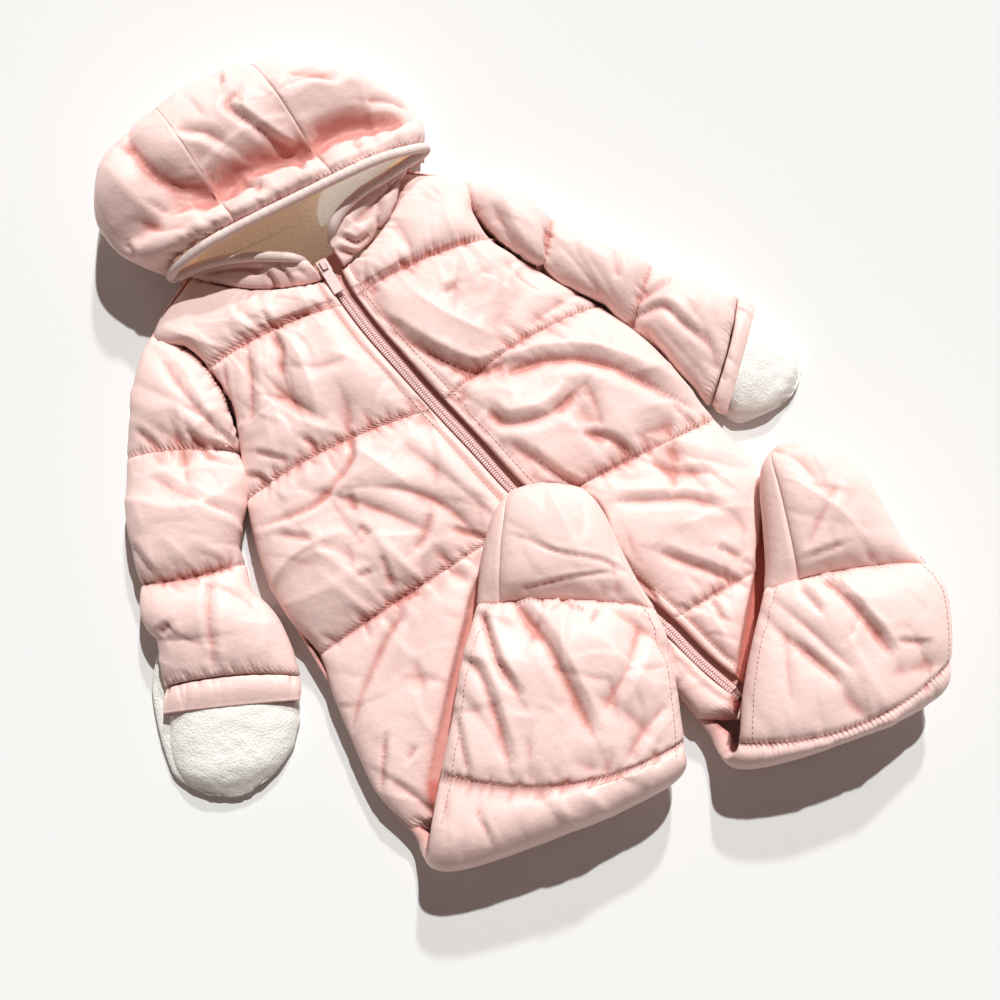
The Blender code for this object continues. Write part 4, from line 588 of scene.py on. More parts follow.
CHIN_CREASES_RIGHT = [
    Crease(((-82, 200), (-62, 190), (-42, 175)), 7, 4.5, 1.0),
    Crease(((-45, 174), (-46, 160)), 4, 2.5, 1.2),
    Crease(((-36, 176), (-35, 158)), 3, 1.8, 0.8),
]
CHIN_CREASES_LEFT = [
    Crease(((70, 178), (44, 172), (22, 168)), 7, 4.5, 1.0),
    Crease(((3, 160), (13, 151), (26, 151)), 4, 3.0, 1.0),
    Crease(((10, 166), (17, 157), (28, 158)), 4, 3.0, 1.0),
    Crease(((47, 172), (38, 160), (29, 148)), 5, 3.0, 1.0),
]

# ---------------------------------------------------------------- curves and profiles


def between(table, stations):
    """Every column of a table at fractional row numbers, on a smooth curve through its rows."""
    rows = np.array(table, float)
    first = np.clip(np.floor(stations).astype(int), 0, len(rows) - 2)
    t = (stations - first)[:, None]
    slopes = np.gradient(rows, axis=0)
    ahead = first + 1
    return (
        (2 * t**3 - 3 * t**2 + 1) * rows[first]
        + (t**3 - 2 * t**2 + t) * slopes[first]
        + (3 * t**2 - 2 * t**3) * rows[ahead]
        + (t**3 - t**2) * slopes[ahead]
    )


def column(table, values, name):
    return values[:, table[0]._fields.index(name)]


def dome(u, shape=SOFT):
    """0 at both edges, 1 in the middle, and upright at the edges."""
    power, root = shape
    return np.clip(1 - np.abs(2 * u - 1) ** power, 0, 1) ** (1 / root)


def half_dome(u, shape=SOFT):
    """0 at u = 0, where it stands upright, and 1 from u = 1 on, where it is level."""
    power, root = shape
    return np.clip(1 - (1 - np.clip(u, 0, 1)) ** power, 0, 1) ** (1 / root)


def puff_along(table, stations):
    """0 on every stitched row, 1 midway between two."""
    stitched = [i for i, row in enumerate(table) if row.seam]
    lower = np.array([max([i for i in stitched if i <= s + 1e-9]) for s in stations])
    upper = np.array([min([i for i in stitched if i >= s - 1e-9]) for s in stations])
    span = np.maximum(upper - lower, 1e-6)
    return np.sin(math.pi * np.clip((stations - lower) / span, 0, 1)) ** WADDING_THIN


def near(away, reach):
    """1 at no distance, and less and less over the reach."""
    return np.exp(-away / reach)


def risen(away, reach):
    """0 at an edge, and nearly 1 beyond the reach."""
    return np.clip(1 - near(away, reach), 0, 1)


def unlimited(points):
    return points


def over_floor(points):
    points[..., 2] = np.maximum(points[..., 2], CLOTH_LOWEST)
    return points


def beside_press(points, press):
    """How far each point is outside a press, and the way from its middle line to the point."""
    start = np.array([press.x1, press.y1], float)
    run = np.array([press.x2, press.y2], float) - start
    along = np.clip(((points[..., :2] - start) @ run) / (run @ run), 0, 1)
    gap = points[..., :2] - start - along[..., None] * run
    away = np.linalg.norm(gap, axis=-1)
    return np.maximum(away - press.r1 - (press.r2 - press.r1) * along, 0), gap


def pressed(points):
    """Lowers what lies under the folded lower legs, rising again beside them."""
    limit = np.full(points.shape[:-1], np.inf)
    for press in PRESSES:
        limit = np.minimum(limit, press.top + PRESS_SLOPE * beside_press(points, press)[0])
    lowered = points.copy()
    lowered[..., 2] = np.minimum(points[..., 2], limit)
    return lowered


# A painted shadow: the mask of the folded legs' shade on the cloth beside them.
def shaded_by_legs(points):
    """Where the cloth lies in the shade beside a folded lower leg, from 0 to 1."""
    shade = np.zeros(points.shape[:-1])
    for press in PRESSES:
        beside, gap = beside_press(points, press)
        turned = np.clip(LEG_SHADE * (unit(gap) @ -LIGHT_FROM), 0, 1)
        shade = np.maximum(shade, turned * near(beside, LEG_SHADE_REACH))
    return shade


# ---------------------------------------------------------------- grids of points


def unit(vectors):
    return vectors / np.maximum(np.linalg.norm(vectors, axis=-1, keepdims=True), 1e-9)


def row_line(table, values, u):
    """The line of each row at the places u across it, bowed to the left of a-to-b."""
    a = np.stack([column(table, values, name) for name in ("a_x", "a_y", "a_z")], axis=-1)
    b = np.stack([column(table, values, name) for name in ("b_x", "b_y", "b_z")], axis=-1)
    u = np.broadcast_to(u, (len(values), np.shape(u)[-1]))
    line = a[:, None] * (1 - u[..., None]) + b[:, None] * u[..., None]
    square = unit(np.stack([a[:, 1] - b[:, 1], b[:, 0] - a[:, 0]], axis=-1))
    bow = column(table, values, "bow")[:, None] * 4 * u * (1 - u)
    line[..., :2] += square[:, None] * bow[..., None]
    return line, u


def front_grid(table, stations, u):
    """A front panel: it rounds down to each edge as far as that edge is below the crown."""
    values = between(table, stations)
    grid, u = row_line(table, values, u)
    crown = column(table, values, "crown")[:, None]
    below_a = crown - column(table, values, "a_z")[:, None]
    below_b = crown - column(table, values, "b_z")[:, None]
    low_a = 1 - half_dome(u / SIDE_ROUNDING)
    low_b = 1 - half_dome((1 - u) / ZIP_ROUNDING)
    height = crown - below_a * low_a - below_b * low_b
    grid[..., 2] = np.maximum(height, FRONT_LOWEST)
    return grid


def back_grid(table, stations, u, away):
    """A panel whose outside turns from down to up as it goes round the leg's fold."""
    values = between(table, stations)
    grid, u = row_line(table, values, u)
    tilt = np.radians(column(table, values, "tilt"))[:, None]
    lift = column(table, values, "lift")[:, None]
    inside = np.clip(column(table, values, "inside"), 0, 1)[:, None]
    upward = np.clip((np.degrees(tilt) + 90) / 180, 0, 1)
    rounded = np.zeros_like(u)
    for shape, share in ((FLAT, 1 - upward), (SOFT, upward)):
        from_a = half_dome(u / BACK_ROUNDING, shape)
        from_b = half_dome((1 - u) / BACK_ROUNDING, shape)
        rounded += share * from_a * (1 - inside * (1 - from_b))
    facing = np.stack([away[0] * np.cos(tilt), away[1] * np.cos(tilt), np.sin(tilt)], axis=-1)
    return grid + facing * (lift * rounded)[..., None]


def ring_grid(table, stations, u, top, shape=SOFT):
    """Rows of a flattened tube at the places u across it, on its top or its underside."""
    values = between(table, stations)
    grid, u = row_line(table, values, u)
    if top:
        grid[..., 2] += column(table, values, "over")[:, None] * dome(u, shape)
    else:
        grid[..., 2] -= column(table, values, "under")[:, None] * dome(u, FLAT)
    return grid


def normals_of(grid, up):
    """Unit normals of a grid[along, across] on the side that `up`, 1 or -1, says."""
    normal = unit(np.cross(np.gradient(grid, axis=1), np.gradient(grid, axis=0)))
    return normal if (normal[..., 2].sum() > 0) == (up > 0) else -normal


def even_rows(shape, rows, cell):
    """Stations through every row of a table, about `cell` apart. cell may differ by row."""
    stations = []
    for i in range(rows - 1):
        ends = shape(np.array([i, i + 0.5, i + 1.0]), np.linspace(0, 1, 9))
        length = np.linalg.norm(np.diff(ends, axis=0), axis=-1).sum(axis=0).mean()
        size = cell[i] if hasattr(cell, "__len__") else cell
        count = max(1, round(length / size))
        stations += [i + k / count for k in range(count)]
    return np.array(stations + [rows - 1.0])


def even_columns(shape, rows, cell, low=0.0, high=1.0):
    """Places across a panel, about `cell` apart on its surface, on average over its rows."""
    fine = np.linspace(low, high, 400)
    grid = shape(np.linspace(0, rows - 1, 2 * rows), fine)
    steps = np.linalg.norm(np.diff(grid, axis=1), axis=-1)
    count = max(2, round(steps.sum(axis=1).mean() / cell))
    share = (steps / steps.sum(axis=1, keepdims=True)).mean(axis=0)
    return np.interp(np.linspace(0, 1, count + 1), np.append(0, np.cumsum(share)), fine)


def panel_grid(shape, rows, cell, up=1):
    """The stations, points and normals of a panel."""
    stations = even_rows(shape, rows, cell)
    points = shape(stations, even_columns(shape, rows, cell))
    return stations, points, normals_of(points, up)


def upward(points):
    return np.broadcast_to(np.array([0.0, 0.0, 1.0]), points.shape)


def lengths(path):
    """How far along a path each of its points is."""
    return np.append(0, np.cumsum(np.linalg.norm(np.diff(path, axis=0), axis=1)))


def sampled(values, length, marks):
    """Places or directions at the marks, from those at each `length`."""
    return np.stack([np.interp(marks, length, values[:, k]) for k in range(3)], axis=-1)


def frame_along(path):
    """Unit vectors ahead, to the side and up along a path."""
    ahead = unit(np.gradient(path, axis=0))
    side = unit(np.cross(ahead, (0, 0, 1)))
    return ahead, side, np.cross(side, ahead)


def rings(path, segments):
    """Unit vectors all round each point of a path, the last as the first, and their turns."""
    _, side, up = frame_along(path)
    turn = np.linspace(0, 2 * math.pi, segments + 1)
    aside = side[:, None] * np.cos(turn)[None, :, None]
    return aside + up[:, None] * np.sin(turn)[None, :, None], turn


# ---------------------------------------------------------------- relief

# How a listed fold falls off beside its line, as shares of its width and its rise, and how
# it fades in from its ends.
STEEP_REACH = 0.45
GENTLE_REACH = 0.95
CREST_AT = 0.9
CREST_WIDTH = 0.55
STEEP_RISE = 1.2
GENTLE_RISE = 0.4
FADE_SLOPE = 5
FADE_LEAST = 0.15
FADE_POWER = 0.7

# The clefts beside a quilting line: `far` is their length on the neck side, which `longer` adds
# to with the chances `odds`, and `beyond` the share of it on the other side. `half` is their
# reach to one side, and `uneven` the other side's share of it.
Pucker = namedtuple("Pucker", "spacing lean far longer odds beyond half uneven depth")
PUCKER = Pucker(
    spacing=3.6, lean=0.25, far=(3, 9), longer=(0, 8), odds=(0.8, 0.2), beyond=(0.2, 1.0),
    half=(0.5, 1.5), uneven=(0.5, 2.0), depth=(0.3, 1.2),
)
PUCKER_NEAR = 20
PUCKER_DEEPEST = 1.8
PUCKER_SEED = 100

# The fine gathers that the stitches pull: how far they run to both sides of a stitched row, over
# what length their strength changes, and how strong they are.
GATHER_REACH = (3.0, 1.1)
GATHER_SPELL = 13.0
GATHER_STRENGTH = (0.2, 1.0)
GATHER_CONTRAST = 1.6
GATHER_SEED = 200

# Folds of crumpled cloth: one for each square of `spacing`, with the ranges of their half
# lengths, of the reach of their steep and gentle sides, and of their depths.
Crumple = namedtuple("Crumple", "spacing half steep gentle depth")
CRUMPLES = (
    Crumple(46.0, (22, 60), (3.0, 6.0), (10.0, 22.0), (1.2, 3.4)),
    Crumple(26.0, (8, 28), (0.8, 2.2), (3.0, 9.0), (0.2, 0.9)),
)
CRUMPLE_TURN = 100  # degrees that most of them run
CRUMPLE_SPREAD = 32
CRUMPLE_BEND = 0.3


def travel(points, axis):
    """How far along an axis of the grid each point is, on its surface."""
    steps = np.linalg.norm(np.diff(points, axis=axis), axis=-1)
    start = np.zeros_like(np.take(steps, [0], axis=axis))
    return np.concatenate([start, np.cumsum(steps, axis=axis)], axis=axis)


def stitched_rows(points, table, stations):
    """For each stitched row, how far along it its points are, and how far all are from it."""
    along = travel(points, 0)
    for i, row in enumerate(table):
        if row.seam:
            at = int(np.argmin(np.abs(stations - i)))
            yield travel(points[at : at + 1], 1), along - along[at : at + 1]


def from_stitching(points, table, stations):
    """How far each point is from the nearest stitched row."""
    nearest = np.full(points.shape[:-1], np.inf)
    for _, away in stitched_rows(points, table, stations):
        nearest = np.minimum(nearest, np.abs(away))
    return nearest


def curve_through(path, spacing=2.0):
    """A smooth line through a few places."""
    rows = np.array(path, float)
    length = np.linalg.norm(np.diff(rows, axis=0), axis=1).sum()
    return between(rows, np.linspace(0, len(rows) - 1, max(2, int(length / spacing))))


def creased(points, creases):
    """How far the listed folds move each point along its normal."""
    moved = np.zeros(points.shape[:-1])
    for crease in creases:
        line = curve_through(crease.path)
        low, high = line.min(axis=0) - 4 * crease.width, line.max(axis=0) + 4 * crease.width
        close = np.all((points[..., :2] > low) & (points[..., :2] < high), axis=-1)
        gap = points[close][:, None, :2] - line[None]
        square = (gap**2).sum(axis=-1)
        nearest = square.argmin(axis=1)
        index = np.arange(len(nearest))
        away = np.sqrt(square[index, nearest])
        ahead = unit(np.gradient(line, axis=0))[nearest]
        gap = gap[index, nearest]
        steep = ahead[:, 0] * gap[:, 1] - ahead[:, 1] * gap[:, 0] > 0
        along = nearest / (len(line) - 1)
        fade = np.clip(FADE_SLOPE * along * (1 - along) + FADE_LEAST, 0, 1) ** FADE_POWER
        reach = crease.width * np.where(steep, STEEP_REACH, GENTLE_REACH)
        trough = crease.depth * np.exp(-away / reach)
        crest = np.abs(away - CREST_AT * crease.width) / (CREST_WIDTH * crease.width)
        steep_crest = STEEP_RISE * np.exp(-crest)
        ridge = crease.rise * np.where(steep, steep_crest, GENTLE_RISE * np.exp(-(crest**2)))
        moved[close] += fade * (ridge - trough)
    return moved


def puckered(points, table, stations, seed):
    """Short sharp clefts square to every quilting line, longer on the neck side of it."""
    rng = np.random.default_rng(seed + PUCKER_SEED)
    moved = np.zeros(points.shape[:-1])
    for across, away in stitched_rows(points, table, stations):
        rows = np.nonzero(np.abs(away).min(axis=1) < PUCKER_NEAR)[0]
        part = away[rows]
        for _ in range(int(across.max() / PUCKER.spacing)):
            beside = across - rng.uniform(0, across.max()) - rng.normal(0, PUCKER.lean) * part
            far = rng.uniform(*PUCKER.far) + rng.choice(PUCKER.longer, p=PUCKER.odds)
            far = np.where(part < 0, far, far * rng.uniform(*PUCKER.beyond))
            fade = np.clip(1 - np.abs(part) / far, 0, 1)
            half = rng.uniform(*PUCKER.half)
            reach = half * np.where(beside > 0, 1.0, rng.uniform(*PUCKER.uneven))
            moved[rows] -= rng.uniform(*PUCKER.depth) * fade * near(np.abs(beside), reach)
    return np.maximum(moved, -PUCKER_DEEPEST)


def gathered(points, table, stations, seed):
    """How strongly the stitches pull each point: unevenly along each stitched row."""
    rng = np.random.default_rng(seed + GATHER_SEED)
    pulled = np.zeros(points.shape[:-1])
    for across, away in stitched_rows(points, table, stations):
        marks = np.arange(0, across[0, -1] + GATHER_SPELL, GATHER_SPELL)
        strength = rng.uniform(*GATHER_STRENGTH, len(marks)) ** GATHER_CONTRAST
        uneven = np.interp(across[0], marks, strength)
        reach = np.where(away < 0, *GATHER_REACH)
        pulled = np.maximum(pulled, uneven * near(np.abs(away), reach))
    return pulled


def crinkled(points, seed):
    """Creases of crumpled cloth, mostly within a half right angle of CRUMPLE_TURN. Each is steep
    on one side and slopes gently away on the other."""
    rng = np.random.default_rng(seed)
    moved = np.zeros(points.shape[:-1])
    flat = points[..., :2]
    size = flat.reshape(-1, 2).max(axis=0) - flat.reshape(-1, 2).min(axis=0)
    for kind in CRUMPLES:
        for _ in range(int(size.prod() / kind.spacing**2)):
            centre = flat[rng.integers(len(flat)), rng.integers(flat.shape[1])]
            turn = math.radians(CRUMPLE_TURN + rng.normal(0, CRUMPLE_SPREAD))
            ahead = np.array([math.cos(turn), math.sin(turn)])
            gap = flat - centre
            along = gap @ ahead
            bend = rng.normal(0, CRUMPLE_BEND) / kind.half[1]
            beside = gap @ np.array([-ahead[1], ahead[0]]) - bend * along**2
            fade = np.clip(1 - (along / rng.uniform(*kind.half)) ** 2, 0, 1)
            reach = np.where(beside > 0, rng.uniform(*kind.gentle), rng.uniform(*kind.steep))
            depth = rng.uniform(*kind.depth) * rng.choice((-1, 1))
            moved += depth * fade * np.exp(-np.abs(beside) / reach)
    return moved


# ---------------------------------------------------------------- settling a sheet

SETTLE_STEPS = ((5, 140), (2, 110), (1, 70))  # every how many points, and how many rounds
START_NOISE = 0.12
BENDING = 0.012
SIDEWAYS = 0.01
SHEAR = 0.25


def level(field):
    """The difference of each point of a grid from the mean of its neighbours, times four."""
    out = np.zeros_like(field)
    out[1:-1] += field[2:] - 2 * field[1:-1] + field[:-2]
    out[:, 1:-1] += field[:, 2:] - 2 * field[:, 1:-1] + field[:, :-2]
    return out


def pull(points, free, rest, first, second, give=1.0):
    """Brings pairs of points to their rest distance. A point that isn't free stays."""
    gap = points[second] - points[first]
    length = np.sqrt((gap**2).sum(axis=-1))
    weight = free[first] + free[second]
    share = give * (length - rest) / np.maximum(length * weight, 1e-9)
    points[first] += gap * (share * free[first])[..., None]
    points[second] -= gap * (share * free[second])[..., None]


def pairs(shape):
    """Index pairs for the threads along and across the grid and on both diagonals."""
    rows, columns = shape
    whole = slice(None)
    sets = []
    for start in (0, 1):
        a, b = slice(start, rows - 1, 2), slice(start + 1, rows, 2)
        sets.append(((a, whole), (b, whole), "along"))
        sets.append(((a, slice(0, columns - 1)), (b, slice(1, columns)), "shear"))
        sets.append(((a, slice(1, columns)), (b, slice(0, columns - 1)), "shear"))
        a, b = slice(start, columns - 1, 2), slice(start + 1, columns, 2)
        sets.append(((whole, a), (whole, b), "across"))
    return sets


def thinned(count, step, sewn):
    """Every step-th index, and all that are sewn."""
    return np.unique(np.concatenate([np.arange(0, count, step), [count - 1], np.nonzero(sewn)[0]]))


def spread(field, kept, count):
    """Fills a field in between the kept indices of its first axis."""
    every = np.arange(count)
    low = np.clip(np.searchsorted(kept, every, side="right") - 1, 0, len(kept) - 2)
    share = (every - kept[low]) / (kept[low + 1] - kept[low])
    share = share.reshape(-1, *[1] * (field.ndim - 1))
    return field[low] * (1 - share) + field[low + 1] * share


def settle(aim, normal, slack_along, slack_across, hold, cap, limit, seed):
    """Lets a sheet that is longer than the surface `aim` find room on it, in broad folds first
    and fine ones last. The wadding holds it there with the strength `hold` at each point, where
    1 is sewn down."""
    rng = np.random.default_rng(seed)
    drift = np.zeros_like(aim)
    for step, rounds in SETTLE_STEPS:
        rows = thinned(len(aim), step, (hold == 1).all(axis=1))
        columns = thinned(aim.shape[1], step, (hold == 1).all(axis=0))
        at = np.ix_(rows, columns)
        jolt = rng.normal(0, START_NOISE * step, (len(rows), len(columns), 1))
        start = aim[at] + drift[at] + normal[at] * jolt
        slack = (slack_along[at], slack_across[at])
        settled = relax(aim[at], normal[at], start, slack, hold[at], cap[at], limit, rounds)
        across = spread(settled - aim[at], rows, len(aim))
        drift = spread(across.swapaxes(0, 1), columns, aim.shape[1]).swapaxes(0, 1)
    return limit(aim + drift)


def relax(aim, normal, points, slack, hold, cap, limit, rounds):
    free = (hold < 1).astype(float)
    points = aim + (points - aim) * free[..., None]
    slack = {"along": 1 + slack[0], "across": 1 + slack[1], "shear": 1 + (slack[0] + slack[1]) / 2}
    threads = []
    for first, second, kind in pairs(aim.shape[:2]):
        plain = np.linalg.norm(aim[second] - aim[first], axis=-1)
        loose = (slack[kind][first] + slack[kind][second]) / 2
        threads.append((first, second, plain * loose, SHEAR if kind == "shear" else 1.0))
    for _ in range(rounds):
        drift = points - aim
        off = (drift * normal).sum(axis=-1)
        points -= (normal * (off * hold)[..., None]) * free[..., None]
        points -= SIDEWAYS * free[..., None] * (drift - normal * off[..., None])
        points -= BENDING * free[..., None] * level(level(points - aim))
        for first, second, rest, give in threads:
            pull(points, free, rest, first, second, give)
        off = ((points - aim) * normal).sum(axis=-1)
        points -= normal * (off - np.clip(off, -cap, cap))[..., None]
        points = limit(points)
    return points


# These set the mask of the painted shade in folds and creases.
SHARP_HOLLOW = 0.9  # so far below the cloth around it, a sharp hollow is fully shaded
BROAD_HOLLOW = 3.0  # and so far, a broad one
BROAD_STEP = 4
HOLLOW_ROUNDS = 12
BAND_HOLLOW_ROUNDS = 8
HOLLOW_MOST = 0.8
SMOOTHING = 0.2


def smoothed(field, rounds):
    for _ in range(rounds):
        field = field + SMOOTHING * level(field)
    return field


def below(points, normal, rounds):
    """How far each point lies below the smoothed cloth."""
    return ((smoothed(points, rounds) - points) * normal).sum(axis=-1)


def hollows(points, normal, rounds=HOLLOW_ROUNDS):
    """How deep in a sharp or a broad hollow each point lies, from 0 to 1."""
    sharp = np.clip(below(points, normal, rounds) / SHARP_HOLLOW, 0, 1)
    none = np.zeros(0, bool)
    rows = thinned(len(points), BROAD_STEP, none)
    columns = thinned(points.shape[1], BROAD_STEP, none)
    at = np.ix_(rows, columns)
    broad = np.clip(below(points[at], normal[at], rounds) / BROAD_HOLLOW, 0, 1)
    broad = spread(spread(broad, rows, len(points)).T, columns, points.shape[1]).T
    return np.clip(0.5 * sharp + 0.5 * broad, 0, HOLLOW_MOST)


# The allowance at an edge of a panel: how far it runs on, and how far it drops.
Allowance = namedtuple("Allowance", "out down")
NARROW = Allowance(0.9, 2.2)
INTO_FOLD = Allowance(14.0, 3.0)  # a front runs on into the fold of its leg
UP_INTO_FOLD = Allowance((4.0, 16.0), (3.0, -6.0))  # from the inside seam to the zip
INTO_ARMHOLE = Allowance(9.0, 1.2)
ARMHOLE_ALLOWANCE = ((0, 1, 4, 5), (2.5, 7.0, 7.0, 0.9))  # a front's, by its rows
ARMHOLE_DROP = 1.2
INTO_ANKLE = Allowance(6.0, 1.0)
UNDER_BINDING = Allowance(3.6, 2.4)
INTO_NECK = Allowance(4.0, 2.0)
UNDER_CHIN = Allowance(3.0, 2.0)
FOLD_SPAN = [FLOOR_ROWS - 0.5, FLOOR_ROWS + 0.5, FLOOR_ROWS + 3, FLOOR_ROWS + 5]
FOLD_DROPS = [2.2, 12.0, 12.0, 4.0]  # how far a back's sides turn in where its leg folds
FOLD_LOOSE = 0.25
# painted shade on the allowances that turn under, dark in the seams' gaps
TURNED_SHADE = 0.8  # of what turns under, as deep in a hollow
FOUR_NARROW = (NARROW, NARROW, NARROW, NARROW)


def along_edge(value, count):
    """One value for each point of an edge, from one or more values along it."""
    values = np.atleast_1d(value)
    places = np.linspace(0, 1, len(values))
    return np.interp(np.linspace(0, 1, count), places, values)[:, None]


def turned_under(points, normal, shade, closed, edges):
    """Adds allowances that turn under, so that seams close. edges: both ends, then both sides."""
    for axis in (0,) if closed else (0, 1):
        grid = points.swapaxes(0, axis)
        up = normal.swapaxes(0, axis)
        tone = shade.swapaxes(0, axis)
        added = []
        for edge, outer, inner in ((edges[2 * axis], 0, 2), (edges[2 * axis + 1], -1, -3)):
            out = along_edge(edge.out, grid.shape[1])
            down = along_edge(edge.down, grid.shape[1])
            away = unit(grid[outer] - grid[inner])
            added.append((grid[outer] + out * away - down * up[outer])[None])
        hidden = np.broadcast_to([TURNED_SHADE, 0.0], tone[:1].shape)
        points = np.concatenate([added[0], grid, added[1]]).swapaxes(0, axis)
        normal = np.concatenate([up[:1], up, up[-1:]]).swapaxes(0, axis)
        shade = np.concatenate([hidden, tone, hidden]).swapaxes(0, axis)
    return over_floor(points.copy()), normal, shade


# ---------------------------------------------------------------- meshes


def in_frame(points):
    """From the tables' frame, in millimetres, to the part's own, in metres."""
    return (points - np.array([MIDDLE_X, MIDDLE_Y, 0])) * MM


def placed(name, bm, finish, node=None):
    """Makes the bmesh an object of the suit with one of the finishes. It may replace a node."""
    mesh = bpy.data.meshes.new(name)
    bm.to_mesh(mesh)
    bm.free()
    mesh.shade_smooth()
    piece = bpy.data.objects.new(name, mesh)
    piece.data.materials.append(FINISHES[finish].surface)
    bpy.context.scene.collection.objects.link(piece)
    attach(piece, "suit")
    if node:
        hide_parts(node)
    return piece


def sheet_mesh(points, normal, shade, closed=False):
    """A grid of the points, with its outside where the normals point. Its attributes: the place
    on the cut, how deep in a hollow it lies, and how near to a stitched row."""
    rows, columns = points.shape[:2]
    bm = bmesh.new()
    bmesh.ops.create_grid(bm, x_segments=columns - 1, y_segments=rows - 1, size=0.5)
    lay = bm.verts.layers.float_vector.new("cut")
    # the hollow attribute masks the painted shade, and on the hood's lining its painted glow
    deep = bm.verts.layers.float.new("hollow")
    gather = bm.verts.layers.float.new("gather")
    places = in_frame(points).reshape(-1, 3)
    cut = np.stack([travel(points, 1), travel(points, 0), np.zeros((rows, columns))], axis=-1)
    cut = cut.reshape(-1, 3) * MM
    for vert, place, spot, tone in zip(bm.verts, places, cut, shade.reshape(-1, 2)):
        vert.co = place
        vert[lay] = spot
        vert[deep], vert[gather] = tone
    bm.faces.ensure_lookup_table()
    bm.normal_update()
    middle = bm.faces[(rows // 2) * (columns - 1) + columns // 2]
    if middle.normal.dot(Vector(normal[rows // 2, columns // 2])) < 0:
        bmesh.ops.reverse_faces(bm, faces=bm.faces)
    if closed:
        bmesh.ops.remove_doubles(bm, verts=bm.verts, dist=0.00005)
    return bm


def sheet(name, points, normal, hollow=None, gather=None, closed=False, edges=FOUR_NARROW):
    """A piece of cloth, as PIECES says. It replaces the node with its name, if there is one."""
    none = np.zeros(points.shape[:2])
    hollow = none if hollow is None else hollow
    shade = np.stack([hollow, none if gather is None else gather], axis=-1)
    if edges:
        points, normal, shade = turned_under(points, normal, shade, closed, edges)
    bm = sheet_mesh(points, normal, shade, closed)
    cut = PIECES[name]
    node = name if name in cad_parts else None
    piece = placed(name + "_cloth", bm, cut.finish, node)
    wall = piece.modifiers.new("wall", "SOLIDIFY")
    wall.thickness = cut.thick * MM
    wall.offset = -1


def repeated(name, template, places, finish, node=None):
    """One mesh of many small copies. places are (origin, x axis, y axis, z axis) rows."""
    shape = np.array([v.co for v in template.verts])
    one = bpy.data.meshes.new(name + "_one")
    template.to_mesh(one)
    template.free()
    bm = bmesh.new()
    for _ in places:
        bm.from_mesh(one)
    spots = [in_frame(origin + shape @ np.array(axes)) for origin, *axes in places]
    for vert, spot in zip(bm.verts, np.concatenate(spots)):
        vert.co = spot
    bpy.data.meshes.remove(one)
    placed(name, bm, finish, node)


# ---------------------------------------------------------------- finishes


def node_group(name, inputs, outputs):
    group = bpy.data.node_groups.new(name, "ShaderNodeTree")
    for label, kind in inputs:
        group.interface.new_socket(label, in_out="INPUT", socket_type=kind)
    for label, kind in outputs:
        group.interface.new_socket(label, in_out="OUTPUT", socket_type=kind)
    return group, group.nodes.new("NodeGroupInput"), group.nodes.new("NodeGroupOutput")


def add(tree, kind, **settings):
    node = tree.nodes.new(kind)
    for key, value in settings.items():
        if hasattr(node, key):
            setattr(node, key, value)
        else:
            node.inputs[key.replace("_", " ").title()].default_value = value
    return node


def multiply(tree, a, b):
    node = tree.nodes.new("ShaderNodeMath")
    node.operation = "MULTIPLY"
    tree.links.new(a, node.inputs[0])
    if hasattr(b, "is_output"):
        tree.links.new(b, node.inputs[1])
    else:
        node.inputs[1].default_value = b
    return node.outputs[0]


def total(tree, a, b):
    node = tree.nodes.new("ShaderNodeMath")
    node.operation = "ADD"
    tree.links.new(a, node.inputs[0])
    tree.links.new(b, node.inputs[1])
    return node.outputs[0]


def crumple_group():
    """Fine crumples of thin cloth, in two sizes: a height that varies over the surface."""
    group, inlet, outlet = node_group(
        "crumple",
        [("Place", "NodeSocketVector"), ("Size", "NodeSocketFloat")],
        [("Height", "NodeSocketFloat")],
    )
    heights = []
    for scale, detail, share in ((1.0, 2.0, 1.0), (3.1, 3.0, 0.35)):
        noise = add(group, "ShaderNodeTexNoise", detail=detail, roughness=0.55)
        group.links.new(inlet.outputs["Place"], noise.inputs["Vector"])
        sized = multiply(group, inlet.outputs["Size"], scale)
        group.links.new(sized, noise.inputs["Scale"])
        heights.append(multiply(group, noise.outputs["Fac"], share))
    group.links.new(total(group, *heights), outlet.inputs["Height"])
    return group


def weave_group():
    """Crossing threads along the cut's two directions."""
    group, inlet, outlet = node_group(
        "weave",
        [("Cut", "NodeSocketVector"), ("Threads", "NodeSocketFloat")],
        [("Height", "NodeSocketFloat")],
    )
    waves = []
    for direction in ("X", "Y"):
        wave = add(group, "ShaderNodeTexWave", wave_type="BANDS", bands_direction=direction)
        wave.inputs["Distortion"].default_value = 0.6
        group.links.new(inlet.outputs["Cut"], wave.inputs["Vector"])
        group.links.new(inlet.outputs["Threads"], wave.inputs["Scale"])
        waves.append(wave.outputs["Fac"])
    group.links.new(multiply(group, *waves), outlet.inputs["Height"])
    return group


def gathers_group():
    """Clefts that every stitch pulls in the cloth beside it: 1 in their depth."""
    group, inlet, outlet = node_group(
        "stitch_gathers",
        [
            ("Cut", "NodeSocketVector"),
            ("Near", "NodeSocketFloat"),
            ("Stitches", "NodeSocketFloat"),
        ],
        [("Depth", "NodeSocketFloat")],
    )
    wave = add(group, "ShaderNodeTexWave", wave_type="BANDS", bands_direction="X")
    wave.inputs["Distortion"].default_value = 2.2
    wave.inputs["Detail"].default_value = 2.0
    wave.inputs["Detail Scale"].default_value = 0.35
    group.links.new(inlet.outputs["Cut"], wave.inputs["Vector"])
    group.links.new(inlet.outputs["Stitches"], wave.inputs["Scale"])
    sharp = add(group, "ShaderNodeMath", operation="POWER")
    group.links.new(wave.outputs["Fac"], sharp.inputs[0])
    sharp.inputs[1].default_value = 2.5
    depth = multiply(group, sharp.outputs[0], inlet.outputs["Near"])
    group.links.new(depth, outlet.inputs["Depth"])
    return group


